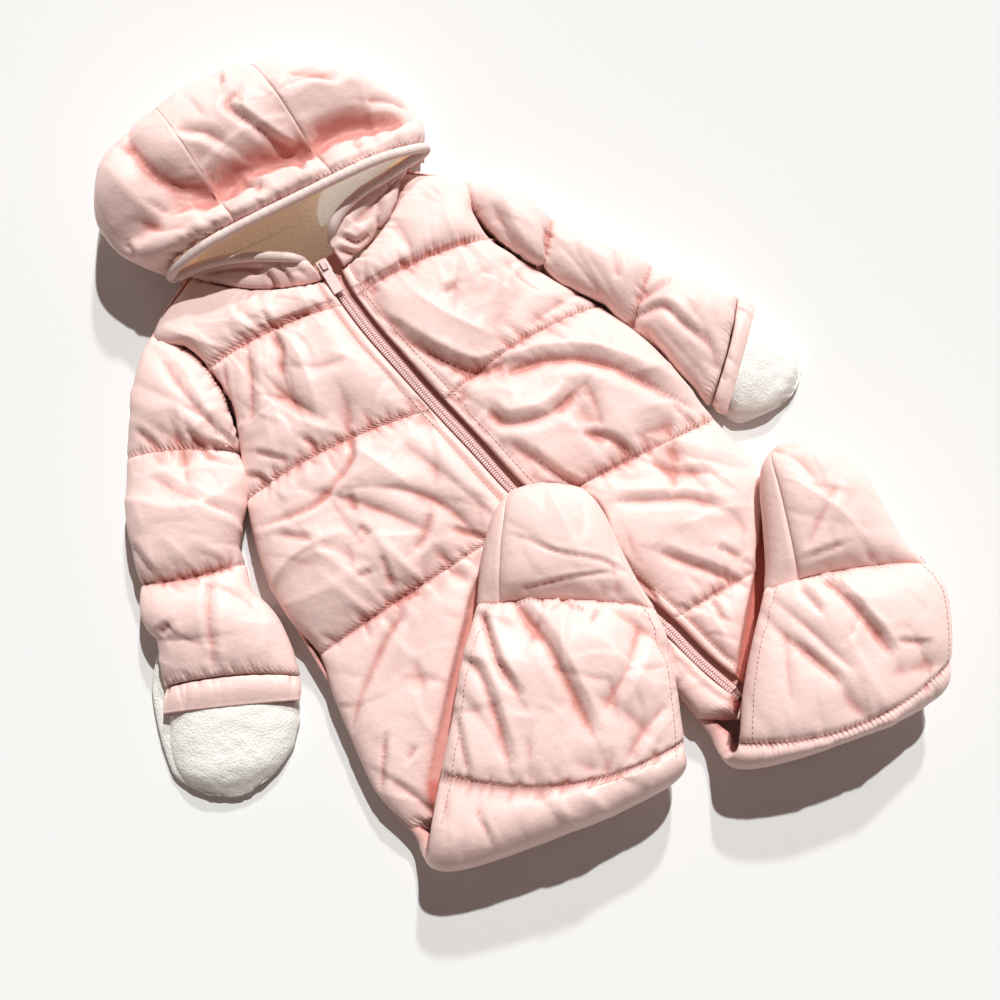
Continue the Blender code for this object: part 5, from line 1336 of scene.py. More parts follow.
def finish(name, colour, roughness, sheen=0.0, specular=0.5):
    made = bpy.data.materials.new(name)
    made.use_nodes = True
    shader = made.node_tree.nodes["Principled BSDF"]
    shader.inputs["Base Color"].default_value = (*colour, 1)
    shader.inputs["Roughness"].default_value = roughness
    shader.inputs["Sheen Weight"].default_value = sheen
    shader.inputs["Specular IOR Level"].default_value = specular
    return made, made.node_tree, shader


def place_of(tree, kind="object"):
    if kind == "object":
        return tree.nodes.new("ShaderNodeTexCoord").outputs["Object"]
    node = tree.nodes.new("ShaderNodeAttribute")
    node.attribute_name = kind
    return node.outputs["Vector"]


def value_of(tree, name):
    node = tree.nodes.new("ShaderNodeAttribute")
    node.attribute_name = name
    return node.outputs["Fac"]


def placed_group(tree, group, **links):
    node = tree.nodes.new("ShaderNodeGroup")
    node.node_tree = group
    for label, value in links.items():
        socket = node.inputs[label.title()]
        if hasattr(value, "is_output"):
            tree.links.new(value, socket)
        else:
            socket.default_value = value
    return node


def bump(tree, shader, height, strength, distance, normal=None):
    node = tree.nodes.new("ShaderNodeBump")
    node.inputs["Strength"].default_value = strength
    node.inputs["Distance"].default_value = distance
    tree.links.new(height, node.inputs["Height"])
    if normal:
        tree.links.new(normal, node.inputs["Normal"])
    tree.links.new(node.outputs["Normal"], shader.inputs["Normal"])
    return node.outputs["Normal"]


# Mixes the base colour by a mask: painted shade on cloth, random grain on moulded parts.
def tint(tree, shader, mask, plain, deep):
    node = tree.nodes.new("ShaderNodeMix")
    node.data_type = "RGBA"
    node.inputs["A"].default_value = (*plain, 1)
    node.inputs["B"].default_value = (*deep, 1)
    tree.links.new(mask, node.inputs["Factor"])
    tree.links.new(node.outputs["Result"], shader.inputs["Base Color"])


SATIN_PLAIN = (0.90, 0.645, 0.595)
# painted shade: the satin's colour deep in its creases, folds, stitch clefts and tucked seams
SATIN_PAINTED_SHADE = (0.54, 0.155, 0.12)
STITCH_WAVES = 95.0  # about one cleft for each stitch
SATIN_THREADS = 550.0
JERSEY_THREADS = 300.0
TAPE_THREADS = 420.0
# The hood lining's painted glow, for the light through its shell: dim brown deep inside and orange
# towards the mouth's ends.
LINING_GLOW_LOW = (0.36, 0.22, 0.14)
LINING_GLOW_HIGH = (0.95, 0.50, 0.25)
LINING_GLOW = 0.32
# painted light: the lining's roll glows as if lit, where the hood's top shades it
ROLL_GLOW = (0.95, 0.88, 0.78)
ROLL_GLOW_STRENGTH = 0.36
FLEECE_PLAIN = (0.92, 0.90, 0.84)
# painted shade of the fleece at its turned-under edges
FLEECE_PAINTED_SHADE = (0.72, 0.60, 0.48)
KNIT_PLAIN = (0.90, 0.74, 0.69)
# painted shade of the jersey between the binding's gathered lumps and at its ends
KNIT_PAINTED_SHADE = (0.78, 0.50, 0.44)
# the tape's pink, darkened with painted shade for the gap beside the coil; below it, its painted
# shade at turned-under edges
TAPE_SHADED_PINK = (0.70, 0.36, 0.32)
TAPE_PAINTED_SHADE = (0.60, 0.28, 0.25)
COIL_COLOUR = (0.88, 0.60, 0.56)
TAB_COLOUR = (0.84, 0.66, 0.63)
# the thread's pink, darkened with painted shade for where the stitches sink into the cloth
THREAD_SHADED_PINK = (0.64, 0.36, 0.31)
MOULDED_DARKER = 0.86


def satin(crumple, weave, gathers):
    made, tree, shader = finish(
        "padded_satin_shell", SATIN_PLAIN, roughness=0.46, sheen=0.05, specular=0.24
    )
    cut = place_of(tree, "cut")
    pulled = placed_group(
        tree, gathers, cut=cut, near=value_of(tree, "gather"), stitches=STITCH_WAVES
    )
    # half the stitch clefts' depth, with the hollow mask, mixes in the painted shade
    clefts = multiply(tree, pulled.outputs["Depth"], 0.5)
    mask = total(tree, value_of(tree, "hollow"), clefts)
    tint(tree, shader, mask, SATIN_PLAIN, SATIN_PAINTED_SHADE)
    small = placed_group(tree, crumple, place=place_of(tree), size=130.0)
    normal = bump(tree, shader, small.outputs["Height"], strength=0.4, distance=0.0011)
    weft = placed_group(tree, weave, cut=cut, threads=SATIN_THREADS).outputs["Height"]
    normal = bump(tree, shader, weft, strength=0.12, distance=0.00008, normal=normal)
    inward = multiply(tree, pulled.outputs["Depth"], -1.0)
    bump(tree, shader, inward, strength=0.8, distance=0.0012, normal=normal)
    return made


def fleece(crumple):
    made, tree, shader = finish(
        "cream_fleece_pile", FLEECE_PLAIN, roughness=0.95, sheen=0.5, specular=0.2
    )
    curls = placed_group(tree, crumple, place=place_of(tree), size=700.0)
    tint(tree, shader, value_of(tree, "hollow"), FLEECE_PLAIN, FLEECE_PAINTED_SHADE)
    bump(tree, shader, curls.outputs["Height"], strength=0.7, distance=0.0011)
    return made


def lining(name, low, high, strength, crumple):
    """Fleece behind the thin shell, with a painted glow for the light that comes through it:
    `low` in the middle of the hood and `high` towards the ends of its mouth."""
    made, tree, shader = finish(name, FLEECE_PLAIN, roughness=0.95, sheen=0.5, specular=0.2)
    mix = tree.nodes.new("ShaderNodeMix")
    mix.data_type = "RGBA"
    mix.inputs["A"].default_value = (*low, 1)
    mix.inputs["B"].default_value = (*high, 1)
    tree.links.new(value_of(tree, "hollow"), mix.inputs["Factor"])
    tree.links.new(mix.outputs["Result"], shader.inputs["Emission Color"])
    shader.inputs["Emission Strength"].default_value = strength
    curls = placed_group(tree, crumple, place=place_of(tree), size=420.0)
    bump(tree, shader, curls.outputs["Height"], strength=1.0, distance=0.0022)
    return made


def woven(name, plain, deep, threads, crumple, weave):
    made, tree, shader = finish(name, plain, roughness=0.85, sheen=0.2, specular=0.3)
    ribs = placed_group(tree, weave, cut=place_of(tree, "cut"), threads=threads)
    # painted shade where the hollow mask is
    tint(tree, shader, value_of(tree, "hollow"), plain, deep)
    soft = placed_group(tree, crumple, place=place_of(tree), size=200.0)
    normal = bump(tree, shader, soft.outputs["Height"], strength=0.4, distance=0.0008)
    height = ribs.outputs["Height"]
    bump(tree, shader, height, strength=0.6, distance=0.0004, normal=normal)
    return made


def moulded(name, colour, roughness, crumple):
    made, tree, shader = finish(name, colour, roughness)
    grain = placed_group(tree, crumple, place=place_of(tree), size=900.0)
    darker = tuple(MOULDED_DARKER * c for c in colour)
    tint(tree, shader, grain.outputs["Height"], darker, colour)
    bump(tree, shader, grain.outputs["Height"], strength=0.15, distance=0.0003)
    return made


def finishes():
    """Every finish, and the slot that its pieces belong to."""
    crumple = crumple_group()
    weave = weave_group()
    jersey = woven("knitted_jersey", KNIT_PLAIN, KNIT_PAINTED_SHADE, JERSEY_THREADS, crumple, weave)
    tape = woven("zip_tape_weave", TAPE_SHADED_PINK, TAPE_PAINTED_SHADE, TAPE_THREADS, crumple, weave)
    # lit and shaded copies of the fleece: painted glow for the lining, painted light for its roll
    shaded = lining(
        "cream_fleece_lining_painted_glow", LINING_GLOW_LOW, LINING_GLOW_HIGH, LINING_GLOW, crumple
    )
    lit = lining("cream_fleece_roll_painted_light", ROLL_GLOW, ROLL_GLOW, ROLL_GLOW_STRENGTH, crumple)
    coil = moulded("zip_coil_nylon", COIL_COLOUR, 0.45, crumple)
    tab = moulded("zip_tab_plastic", TAB_COLOUR, 0.5, crumple)
    thread = moulded("sewing_thread", THREAD_SHADED_PINK, 0.6, crumple)
    return {
        "shell": Finish(satin(crumple, weave, gathers_group()), "padded_satin"),
        "thread": Finish(thread, "padded_satin"),
        "pile": Finish(fleece(crumple), "cream_fleece"),
        "lining": Finish(shaded, "cream_fleece"),
        "roll": Finish(lit, "cream_fleece"),
        "jersey": Finish(jersey, "knitted_binding"),
        "tape": Finish(tape, "zip_tape_pink"),
        "coil": Finish(coil, "zip_coil_pink"),
        "tab": Finish(tab, "zip_tab_pink"),
    }


Finish = namedtuple("Finish", "surface slot")
FINISHES = finishes()


# ---------------------------------------------------------------- the padded panels


def body_half(side):
    """The body's rows as a front panel's, from the side seam to the zip."""
    rows = []
    for row in BODY:
        if side == "right":
            edge = (row.right_x, row.right_y, row.right_z)
            zip_edge = (row.zip_x - ZIP_RIGHT_EDGE, row.zip_y, row.zip_z)
            rows.append(PanelRow(*edge, *zip_edge, row.zip_z, row.bow, row.seam))
        else:
            edge = (row.left_x, row.left_y, row.left_z)
            zip_edge = (row.zip_x + ZIP_LEFT_EDGE, row.zip_y, row.zip_z)
            rows.append(PanelRow(*edge, *zip_edge, row.zip_z, -row.bow, row.seam))
    return rows


def placket(away):
    """How far the wadding swells beside the zip: a slim stitched band, then the full swell."""
    band = PLACKET_SWELL * np.sin(math.pi * np.clip(away / PLACKET, 0, 1)) ** PLACKET_ROUND
    swell = 1 - near(np.maximum(away - PLACKET, 0), PLACKET_RISE)
    return np.where(away < PLACKET, band, swell)


# A settled panel, and how far its points are from the zip or from its first side.
Shell = namedtuple("Shell", "points normal stations across table")

SEWN_REACH = 7.0  # from stitches, over which the wadding holds the shell less and less
SEWN_WITHIN = 0.4
SLACK_ACROSS = 0.024  # how much longer than its form the shell is cut
SLACK_ALONG = 0.018
SEAM_SLACK = 0.06  # and more beside a seam
SEAM_SLACK_REACH = 8.0
EDGE_SLACK_SHARE = 0.6
EDGE_SLACK_REACH = 10.0
HOLD_LOOSE = 0.0015
HOLD_SEWN = 0.010
DRIFT_SEWN = 1.0  # how far the shell may leave its aim
DRIFT_LOOSE = 3.2


def quilted(
    plain, normal, raised, from_seam, from_edge, seed, limit=unlimited, slack=SEAM_SLACK,
    loose=1.0,
):
    """Settles a padded panel: puckered beside the stitching, and looser between. `loose` scales
    how much longer than its form it is cut."""
    sewn = near(np.minimum(from_seam, from_edge), SEWN_REACH)
    raised = raised + crinkled(plain, seed) * (1 - sewn) * loose
    aim = limit(plain + normal * raised[..., None])
    across = (SLACK_ACROSS + slack * near(from_seam, SEAM_SLACK_REACH)) * loose
    at_edge = EDGE_SLACK_SHARE * slack * near(from_edge, EDGE_SLACK_REACH)
    along = (SLACK_ALONG + at_edge) * loose
    hold = HOLD_LOOSE + HOLD_SEWN * sewn
    hold[(from_seam < SEWN_WITHIN) | (from_edge < CELL / 2)] = 1
    cap = DRIFT_SEWN + DRIFT_LOOSE * (1 - sewn)
    points = settle(aim, normal, along, across, hold, cap, limit, seed)
    return points, hollows(points, normal)


def relief(plain, table, stations, puff, swell, shown, creases, seed):
    """The wadding's swell, with folds and clefts where `shown` is 1."""
    raised = puff * puff_along(table, stations)[:, None] * swell
    raised = raised + creased(plain, creases) * shown
    return raised + puckered(plain, table, stations, seed) * shown


def front_limit(points):
    """Fronts stay over the side seams' height and under the folded legs."""
    kept = pressed(points)
    kept[..., 2] = np.maximum(kept[..., 2], FRONT_LOWEST)
    return kept


def front(name, table, puff, fold=INTO_FOLD):
    """A front, or the strip beside the zip: also sewn along its placket."""
    seed = PIECES[name].seed
    shape = lambda stations, u: front_grid(table, stations, u)
    stations, plain, normal = panel_grid(shape, len(table), CELL)
    from_side = travel(plain, 1)
    from_zip = from_side[:, -1:] - from_side
    swell = placket(from_zip) * risen(from_side, EDGE_RISE)
    shown = np.clip(swell * FRONT_FOLDS_FULL, 0, 1)
    raised = relief(plain, table, stations, puff, swell, shown, FRONT_CREASES, seed)
    from_seam = from_stitching(plain, table, stations)
    from_edge = np.minimum(np.minimum(from_side, from_zip), np.abs(from_zip - PLACKET))
    points, hollow = quilted(plain, normal, raised, from_seam, from_edge, seed, front_limit)
    # painted shadow beside the folded lower legs
    hollow = np.maximum(hollow, shaded_by_legs(points))
    side = NARROW
    if len(table) > len(BODY):
        side = Allowance(np.interp(stations, *ARMHOLE_ALLOWANCE), ARMHOLE_DROP)
    gather = gathered(plain, table, stations, seed)
    sheet(name, points, normal, hollow, gather, edges=(UNDER_CHIN, fold, side, NARROW))
    return Shell(points, normal, stations, from_zip, table)


def back(name, table, away, creases):
    """A back, from the neck along the floor, and round its leg's fold to the heel."""
    seed = PIECES[name].seed
    shape = lambda stations, u: back_grid(table, stations, u, away)
    cells = [HIDDEN_CELL] * (FLOOR_ROWS - 1) + [UNDER_CELL] + [CELL] * (len(table) - FLOOR_ROWS)
    cells[FLOOR_ROWS + 4] = 2 * CELL  # these two rows run together at one side
    stations = even_rows(shape, len(table), cells)
    u = even_columns(lambda s, v: shape(s + FLOOR_ROWS + 3, v), len(table) - FLOOR_ROWS - 3, CELL)
    plain = shape(stations, u)
    on_floor = stations <= FLOOR_ROWS
    plain[on_floor, :, 2] = np.minimum(plain[on_floor, :, 2], BACK_HIGHEST)
    normal = normals_of(plain, 1)
    if normal[0, :, 2].mean() > 0:
        normal = -normal
    tilt = column(table, between(table, stations), "tilt")
    upward = np.clip(tilt / 90 + 0.4, 0, 1)[:, None]
    across = travel(plain, 1)
    from_edge = np.minimum(across, across[:, -1:] - across)
    swell = risen(from_edge, EDGE_RISE)
    raised = LEG_PUFF * puff_along(table, stations)[:, None] * swell
    raised = raised + puckered(plain, table, stations, seed) * swell
    raised = (raised + creased(plain, creases) * swell) * upward
    loose = np.clip(tilt / 90, FOLD_LOOSE, 1)[:, None] * np.ones_like(swell)
    from_seam = from_stitching(plain, table, stations)
    shown = stations >= FLOOR_ROWS
    points = plain.copy()
    hollow = np.zeros(points.shape[:2])
    points[shown], hollow[shown] = quilted(
        plain[shown], normal[shown], raised[shown], from_seam[shown], from_edge[shown], seed,
        over_floor, loose=loose[shown],
    )
    points[~shown] = over_floor(points[~shown])
    turned = Allowance(NARROW.out, np.interp(stations, FOLD_SPAN, FOLD_DROPS))
    gather = gathered(plain, table, stations, seed)
    sheet(name, points, normal, hollow, gather, edges=(NARROW, INTO_ANKLE, turned, turned))
    return Shell(points, normal, stations, across, table)


def folded_front(name, table):
    shape = lambda stations, u: back_grid(table, stations, u, (0, -1))
    _, points, normal = panel_grid(shape, len(table), UNDER_CELL, -1)
    sheet(name, points, normal, edges=None)


def whole_tube(table, stations, over, under):
    """Rings that start and end in the middle of the underside."""
    half = len(under) // 2
    sides = (
        ring_grid(table, stations, under[half:0:-1], False),
        ring_grid(table, stations, over, True),
        ring_grid(table, stations, under[-2 : half - 1 : -1], False),
    )
    return np.concatenate(sides, axis=1)


def tube_columns(table, cell):
    over = even_columns(lambda s, u: ring_grid(table, s, u, True), len(table), cell)
    coarse = UNDERSIDE_COARSER * cell
    under = even_columns(lambda s, u: ring_grid(table, s, u, False), len(table), coarse)
    if len(under) % 2 == 0:
        under = np.interp(np.linspace(0, 1, len(under) + 1), np.linspace(0, 1, len(under)), under)
    return over, under


def outward(grid):
    """Unit normals of rings, away from the middle of each."""
    normal = unit(np.cross(np.gradient(grid, axis=1), np.gradient(grid, axis=0)))
    apart = grid - grid.mean(axis=1, keepdims=True)
    return normal if (normal * apart).sum() > 0 else -normal


def tube(table, cell, cell_around):
    """The stations, points and outward normals of a whole tube."""
    stations = even_rows(lambda s, u: ring_grid(table, s, u, True), len(table), cell)
    points = whole_tube(table, stations, *tube_columns(table, cell_around))
    return stations, points, outward(points)


def sleeve(name, table, creases):
    seed = PIECES[name].seed
    stations, plain, normal = tube(table, CELL, CELL)
    over, under = tube_columns(table, CELL)
    across = np.zeros(plain.shape[1])
    across[len(under) // 2 : len(under) // 2 + len(over)] = dome(over, BROAD)
    shown = np.clip(across * SLEEVE_FOLDS_FULL, 0, 1)
    raised = relief(plain, table, stations, SLEEVE_PUFF, across, shown, creases, seed)
    from_seam = from_stitching(plain, table, stations)
    around = travel(plain, 1)
    from_edge = np.minimum(around, around[:, -1:] - around) + SLEEVE_SEAM_OFF
    points, hollow = quilted(plain, normal, raised, from_seam, from_edge, seed, over_floor)
    points[:, 0] = points[:, -1] = (points[:, 0] + points[:, -1]) / 2
    gather = gathered(plain, table, stations, seed)
    sheet(name, points, normal, hollow, gather, True, (INTO_ARMHOLE, NARROW))
    return Shell(points, normal, stations, around, table)


# The pleats of a hem band: places and widths as shares of its girth, lengths of its width.
Pleat = namedtuple("Pleat", "lean place width sides top length depth")
PLEAT = Pleat(
    lean=0.012, place=(0.02, 0.98), width=(0.003, 0.010), sides=(3.0, 1.0), top=0.15,
    length=(0.15, 0.9), depth=(0.5, 1.6),
)
PLEAT_DEEPEST = 2.0
BAND_ROLL = 0.8  # how far the band's edges roll in
BAND_ROLL_SPAN = 1.1
BAND_SEAM_DEPTH = 0.7
BAND_SEAM_REACH = 0.08


def gathered_band(name, table, pleats):
    """A hem band: its pleats are uneven in width and depth."""
    stations, plain, normal = tube(table, BAND_CELL, BAND_CELL_AROUND)
    around = travel(plain, 1) / travel(plain, 1)[:, -1:]
    rng = np.random.default_rng(PIECES[name].seed)
    along = stations[:, None] / (len(table) - 1)
    moved = np.zeros(plain.shape[:2])
    for _ in range(pleats):
        lean = rng.normal(0, PLEAT.lean)
        beside = around - rng.uniform(*PLEAT.place) - lean * along
        width = rng.uniform(*PLEAT.width)
        reach = np.where(beside > 0, *PLEAT.sides) * width
        fade = near(np.abs(along - PLEAT.top), rng.uniform(*PLEAT.length))
        moved -= rng.uniform(*PLEAT.depth) * fade * near(np.abs(beside), reach)
    rolled = BAND_ROLL * np.sin(math.pi * np.clip(along * BAND_ROLL_SPAN, 0, 1))
    rolled = rolled - BAND_SEAM_DEPTH * near(along, BAND_SEAM_REACH)
    raised = np.maximum(moved, -PLEAT_DEEPEST) + rolled
    points = over_floor(plain + normal * raised[..., None])
    points[:, 0] = points[:, -1]
    hollow = hollows(points, normal, BAND_HOLLOW_ROUNDS)
    sheet(name, points, normal, hollow, closed=True)


NAP_ROUNDS = 5
MITT_NAP = 0.8
MITT_UNDER_NAP = 0.6
ROLL_NAP = 0.5


def napped(plain, normal, seed, height):
    """Soft unevenness of pile."""
    soft = smoothed(np.random.default_rng(seed).normal(0, 1, plain.shape[:2]), NAP_ROUNDS)
    return over_floor(plain + normal * (height * soft)[..., None])


def mitt_top(name, table):
    shape = lambda stations, u: ring_grid(table, stations, u, True)
    _, plain, normal = panel_grid(shape, len(table), MITT_CELL)
    sheet(name, napped(plain, normal, PIECES[name].seed, MITT_NAP), normal)


def mitt_under(name, table):
    """The broad layer under it: a closed soft edge all round."""
    share = np.linspace(0, 1, len(MITT_UNDER_PUFF))
    puffs = np.interp(np.linspace(0, 1, len(table)), share, MITT_UNDER_PUFF)
    puffed = [row._replace(over=puff) for row, puff in zip(table, puffs)]
    _, plain, normal = tube(puffed, MITT_UNDER_CELL, MITT_UNDER_CELL)
    points = napped(plain, normal, PIECES[name].seed, MITT_UNDER_NAP)
    points[:, 0] = points[:, -1]
    sheet(name, points, normal, closed=True)


def bootie(side, table, creases):
    """A sole with its settled cloth, and the upper round the rest of the foot."""
    strip = lambda s, v: ring_grid(
        table,
        s,
        column(table, between(table, s), "sole_a")[:, None] * (1 - v)
        + column(table, between(table, s), "sole_b")[:, None] * v,
        True,
    )
    stations = even_rows(strip, len(table), CELL)
    v = even_columns(strip, len(table), CELL)
    values = between(table, stations)
    sole_a = column(table, values, "sole_a")[:, None]
    sole_b = column(table, values, "sole_b")[:, None]
    plain = ring_grid(table, stations, sole_a + (sole_b - sole_a) * v[None], True)
    normal = normals_of(plain, 1)
    across = travel(plain, 1)
    from_edge = np.minimum(across, across[:, -1:] - across)
    swell = risen(from_edge, SOLE_RISE)
    raised = SOLE_PUFF * puff_along(table, stations)[:, None] * swell
    raised = raised + creased(plain, creases) * swell
    from_seam = from_stitching(plain, table, stations)
    seed = PIECES["sole_" + side].seed
    points, hollow = quilted(
        plain, normal, raised, from_seam, from_edge, seed, slack=SOLE_SLACK
    )
    edges = (INTO_ANKLE, NARROW, NARROW, NARROW)
    sheet("sole_" + side, points, normal, hollow, edges=edges)
    side_steps = np.linspace(0, 1, UPPER_SIDE_POINTS)[None]
    over_a = ring_grid(table, stations, (sole_a - SOLE_GAP) * (1 - side_steps), True)
    under_grid = lambda s, u: ring_grid(table, s, u, False)
    under = under_grid(stations, even_columns(under_grid, len(table), UNDER_CELL)[1:])
    over_b = ring_grid(table, stations, 1 - (1 - sole_b - SOLE_GAP) * side_steps[:, 1:], True)
    ring = np.concatenate([over_a, under, over_b], axis=1)
    sheet("bootie_" + side, ring, outward(ring), edges=edges)


# ---------------------------------------------------------------- hood


def mouth_gathers(stations, u):
    """Gathers along the binding, uneven in depth, width and length: sharp clefts between lumps
    of very different sizes."""
    rng = np.random.default_rng(MOUTH_SEED)
    steps = rng.uniform(*MOUTH.step, HOOD_GATHERS)
    centres = np.cumsum(steps) / steps.sum()
    u = np.broadcast_to(u, (len(stations), np.shape(u)[-1]))
    out = np.zeros(u.shape)
    for place in centres:
        far = HOOD_GATHER_REACH * rng.uniform(*MOUTH.far)
        fade = np.clip(1 - stations / far, 0, 1)[:, None]
        lean = rng.normal(0, MOUTH.lean) * stations[:, None]
        beside = u - place - lean
        half = rng.uniform(*MOUTH.reach)
        reach = half * np.where(beside > 0, 1.0, rng.uniform(*MOUTH.uneven))
        out -= rng.uniform(*MOUTH.depth) * fade * near(np.abs(beside), reach)
    return HOOD_GATHER_DEPTH * np.maximum(out, -MOUTH_DEEPEST)


def hood_panel(name, over, under, u, stations, axis):
    """A hood panel: its top settles, and its underside stays plain. The underside follows the
    top along the panel (axis 0), or across it, round the hood's side (axis 1)."""
    seed = PIECES[name].seed
    normal = normals_of(over, 1)
    from_edge = travel(over, 1)
    if axis == 0:
        from_edge = np.minimum(from_edge, from_edge[:, -1:] - from_edge)
    from_seam = from_stitching(over, HOOD, stations)
    swell = risen(from_edge, HOOD_RISE)
    gathers = mouth_gathers(stations, u) * (MOUTH_SHARES[0] + MOUTH_SHARES[1] * swell)
    raised = gathers + creased(over, HOOD_CREASES) * swell
    raised = raised + HOOD_SEAM_DEPTH * (swell - 1)
    points, hollow = quilted(over, normal, raised, from_seam, from_edge, seed, loose=HOOD_LOOSE)
    whole = np.concatenate([points, under], axis=axis)
    whole_normal = normals_of(whole, 1)
    plain_under = np.zeros(under.shape[:2])
    hollow = np.concatenate([hollow, plain_under], axis=axis)
    gather = np.concatenate([gathered(over, HOOD, stations, seed), plain_under], axis=axis)
    if whole_normal[: len(over), : over.shape[1], 2].mean() < 0:
        whole_normal = -whole_normal
    edges = (UNDER_BINDING, NARROW, NARROW, NARROW)
    sheet(name, whole, whole_normal, hollow, gather, edges=edges)


def hood():
    shape = lambda s, u: ring_grid(HOOD, s, u, True, STANDING)
    stations = even_rows(shape, len(HOOD), CELL)
    values = between(HOOD, stations)
    a_x = column(HOOD, values, "a_x")[:, None]
    width = column(HOOD, values, "b_x")[:, None] - a_x
    gap = HOOD_SEAM_GAP / width
    seam_right = np.clip((HOOD_SEAM_RIGHT_X - a_x) / width, *HOOD_SEAM_RIGHT_WITHIN)
    seam_left = np.clip((HOOD_SEAM_LEFT_X - a_x) / width, *HOOD_SEAM_LEFT_WITHIN)
    share = np.linspace(0, 1, HOOD_CENTRE_POINTS)
    middle = seam_right + gap + (seam_left - seam_right - 2 * gap) * share
    over = shape(stations, middle)
    back_rows = np.arange(len(stations) - 2, -1, -HOOD_UNDER_STEP)
    under = ring_grid(HOOD, stations[back_rows], middle[back_rows], False)
    hood_panel("hood_centre", over, under, middle, stations, 0)
    share = np.linspace(0, 1, HOOD_SIDE_POINTS)
    ease = np.sin(math.pi / 2 * share) * HOOD_EASE + (1 - HOOD_EASE) * share
    under_ease = np.linspace(0, 1, HOOD_UNDER_POINTS)[1:] ** HOOD_UNDER_EASE
    for name, edge, rim in (
        ("hood_side_right", seam_right - gap, 0),
        ("hood_side_left", seam_left + gap, 1),
    ):
        u = edge + (rim - edge) * ease
        over = shape(stations, u)
        under = ring_grid(HOOD, stations, rim + (edge - rim) * under_ease, False)
        hood_panel(name, over, under, u, stations, 1)


def lining_roll():
    """The lining's loose fold inside the wearer's left edge of the opening."""
    values = between(LINING_ROLL, np.linspace(0, len(LINING_ROLL) - 1, ROLL_POINTS))
    path = values[:, :3]
    spin, _ = rings(path, ROLL_SEGMENTS)
    plain = path[:, None] + values[:, 3][:, None, None] * spin
    points = napped(plain, spin, PIECES["hood_lining_roll"].seed, ROLL_NAP)
    points[:, -1] = points[:, 0]
    sheet("hood_lining_roll", points, spin, closed=True, edges=None)


def hood_lining():
    inset = [
        row._replace(
            a_x=row.a_x + HOOD_LINING_INSET,
            b_x=row.b_x - HOOD_LINING_INSET,
            over=row.over - HOOD_LINING_BELOW,
            under=row.under - HOOD_LINING_INSET,
        )
        for row in HOOD
    ]
    share = np.linspace(0, 1, len(HOOD_LINING_ROWS))
    stations = np.interp(np.linspace(0, 1, HOOD_LINING_POINTS), share, HOOD_LINING_ROWS)
    over, under = tube_columns(inset, LINING_CELL)
    ring = whole_tube(inset, stations, over, under)
    # painted glow of the lining, where light through the shell would reach it
    from_right = (LIGHT_RIGHT[0] - ring[..., 0]) / LIGHT_RIGHT[1]
    from_left = (ring[..., 0] - LIGHT_LEFT[0]) / LIGHT_LEFT[1]
    painted_glow = np.clip(np.maximum(from_right, from_left), 0, 1)
    sheet("hood_lining", ring, -outward(ring), painted_glow, closed=True, edges=None)
    lining_roll()
    shape = lambda s, u: row_line(NAPE_LINING, between(NAPE_LINING, s), u)[0]
    stations = even_rows(shape, len(NAPE_LINING), NAPE_CELL)
    nape = shape(stations, np.linspace(0, 1, NAPE_POINTS))
    sheet("nape_lining", nape, upward(nape))


def chin(name, side, table, creases):
    """A chin piece, gathered between the neck seam and the binding."""

    def shape(stations, u):
        values = between(table, stations)
        share = column(table, values, "neck")[None]
        neck = front_grid(body_half(side), np.array([0.0]), share)[0]
        neck[:, 1] += NECK_GAP
        edge = values[:, 1:4]
        u = np.broadcast_to(u, (len(stations), np.shape(u)[-1]))[..., None]
        grid = neck[:, None] * (1 - u) + edge[:, None] * u
        rise = column(table, values, "rise")[:, None]
        grid[..., 2] += rise * dome(u[..., 0], CHIN_DOME)
        return grid

    _, plain, normal = panel_grid(shape, len(table), CHIN_CELL)
    from_neck = travel(plain, 1)
    from_edge = from_neck[:, -1:] - from_neck
    points, hollow = quilted(
        plain, normal, creased(plain, creases), from_neck, from_edge, PIECES[name].seed,
        slack=CHIN_SLACK,
    )
    sheet(name, points, normal, hollow, edges=(NARROW, NARROW, INTO_NECK, NARROW))


def binding_route():
    """Up over the right chin piece, along the hood's edge, and down over the left one."""
    over_chin = np.array([0, 0.5, BINDING_OVER_CHIN])
    right = [np.array([r.edge_x, r.edge_y, r.edge_z]) + over_chin for r in CHIN_RIGHT[::-1]]
    left = [np.array([r.edge_x, r.edge_y, r.edge_z]) + over_chin for r in CHIN_LEFT]
    at = np.linspace(*LIP_ENDS, LIP_POINTS)[None]
    lip = ring_grid(HOOD, np.array([0.0]), at, True, STANDING)[0]
    aside, ahead = (share * BINDING_OFF_HOOD for share in LIP_SHIFT)
    lip = lip + np.array([aside, ahead, -LIP_DROP])
    return right + [np.array(CORNER_RIGHT)] + list(lip) + [np.array(CORNER_LEFT)] + left


def binding_lumps(count, length, turn):
    """The binding's lumps between its gathers, at each point along it and round it."""
    rng = np.random.default_rng(BINDING_SEED)
    gathers = int(length / BINDING_GATHER)
    marks = np.linspace(0, 1, gathers)
    places = np.arange(count)
    uneven = rng.uniform(*BINDING_UNEVEN, gathers) / gathers
    phase = np.interp(places / count, marks, marks + uneven)
    swell = np.abs(np.sin(math.pi * gathers * phase)) ** BINDING_ROUND
    height = np.interp(places / count, marks, rng.uniform(*BINDING_LUMPS, gathers))
    lean = BINDING_LEAN * np.sin(turn)[None]
    shifted = np.clip(places[:, None] + lean * BINDING_LEAN_POINTS, 0, count - 1)
    return np.interp(shifted.ravel(), places, swell * height).reshape(shifted.shape)


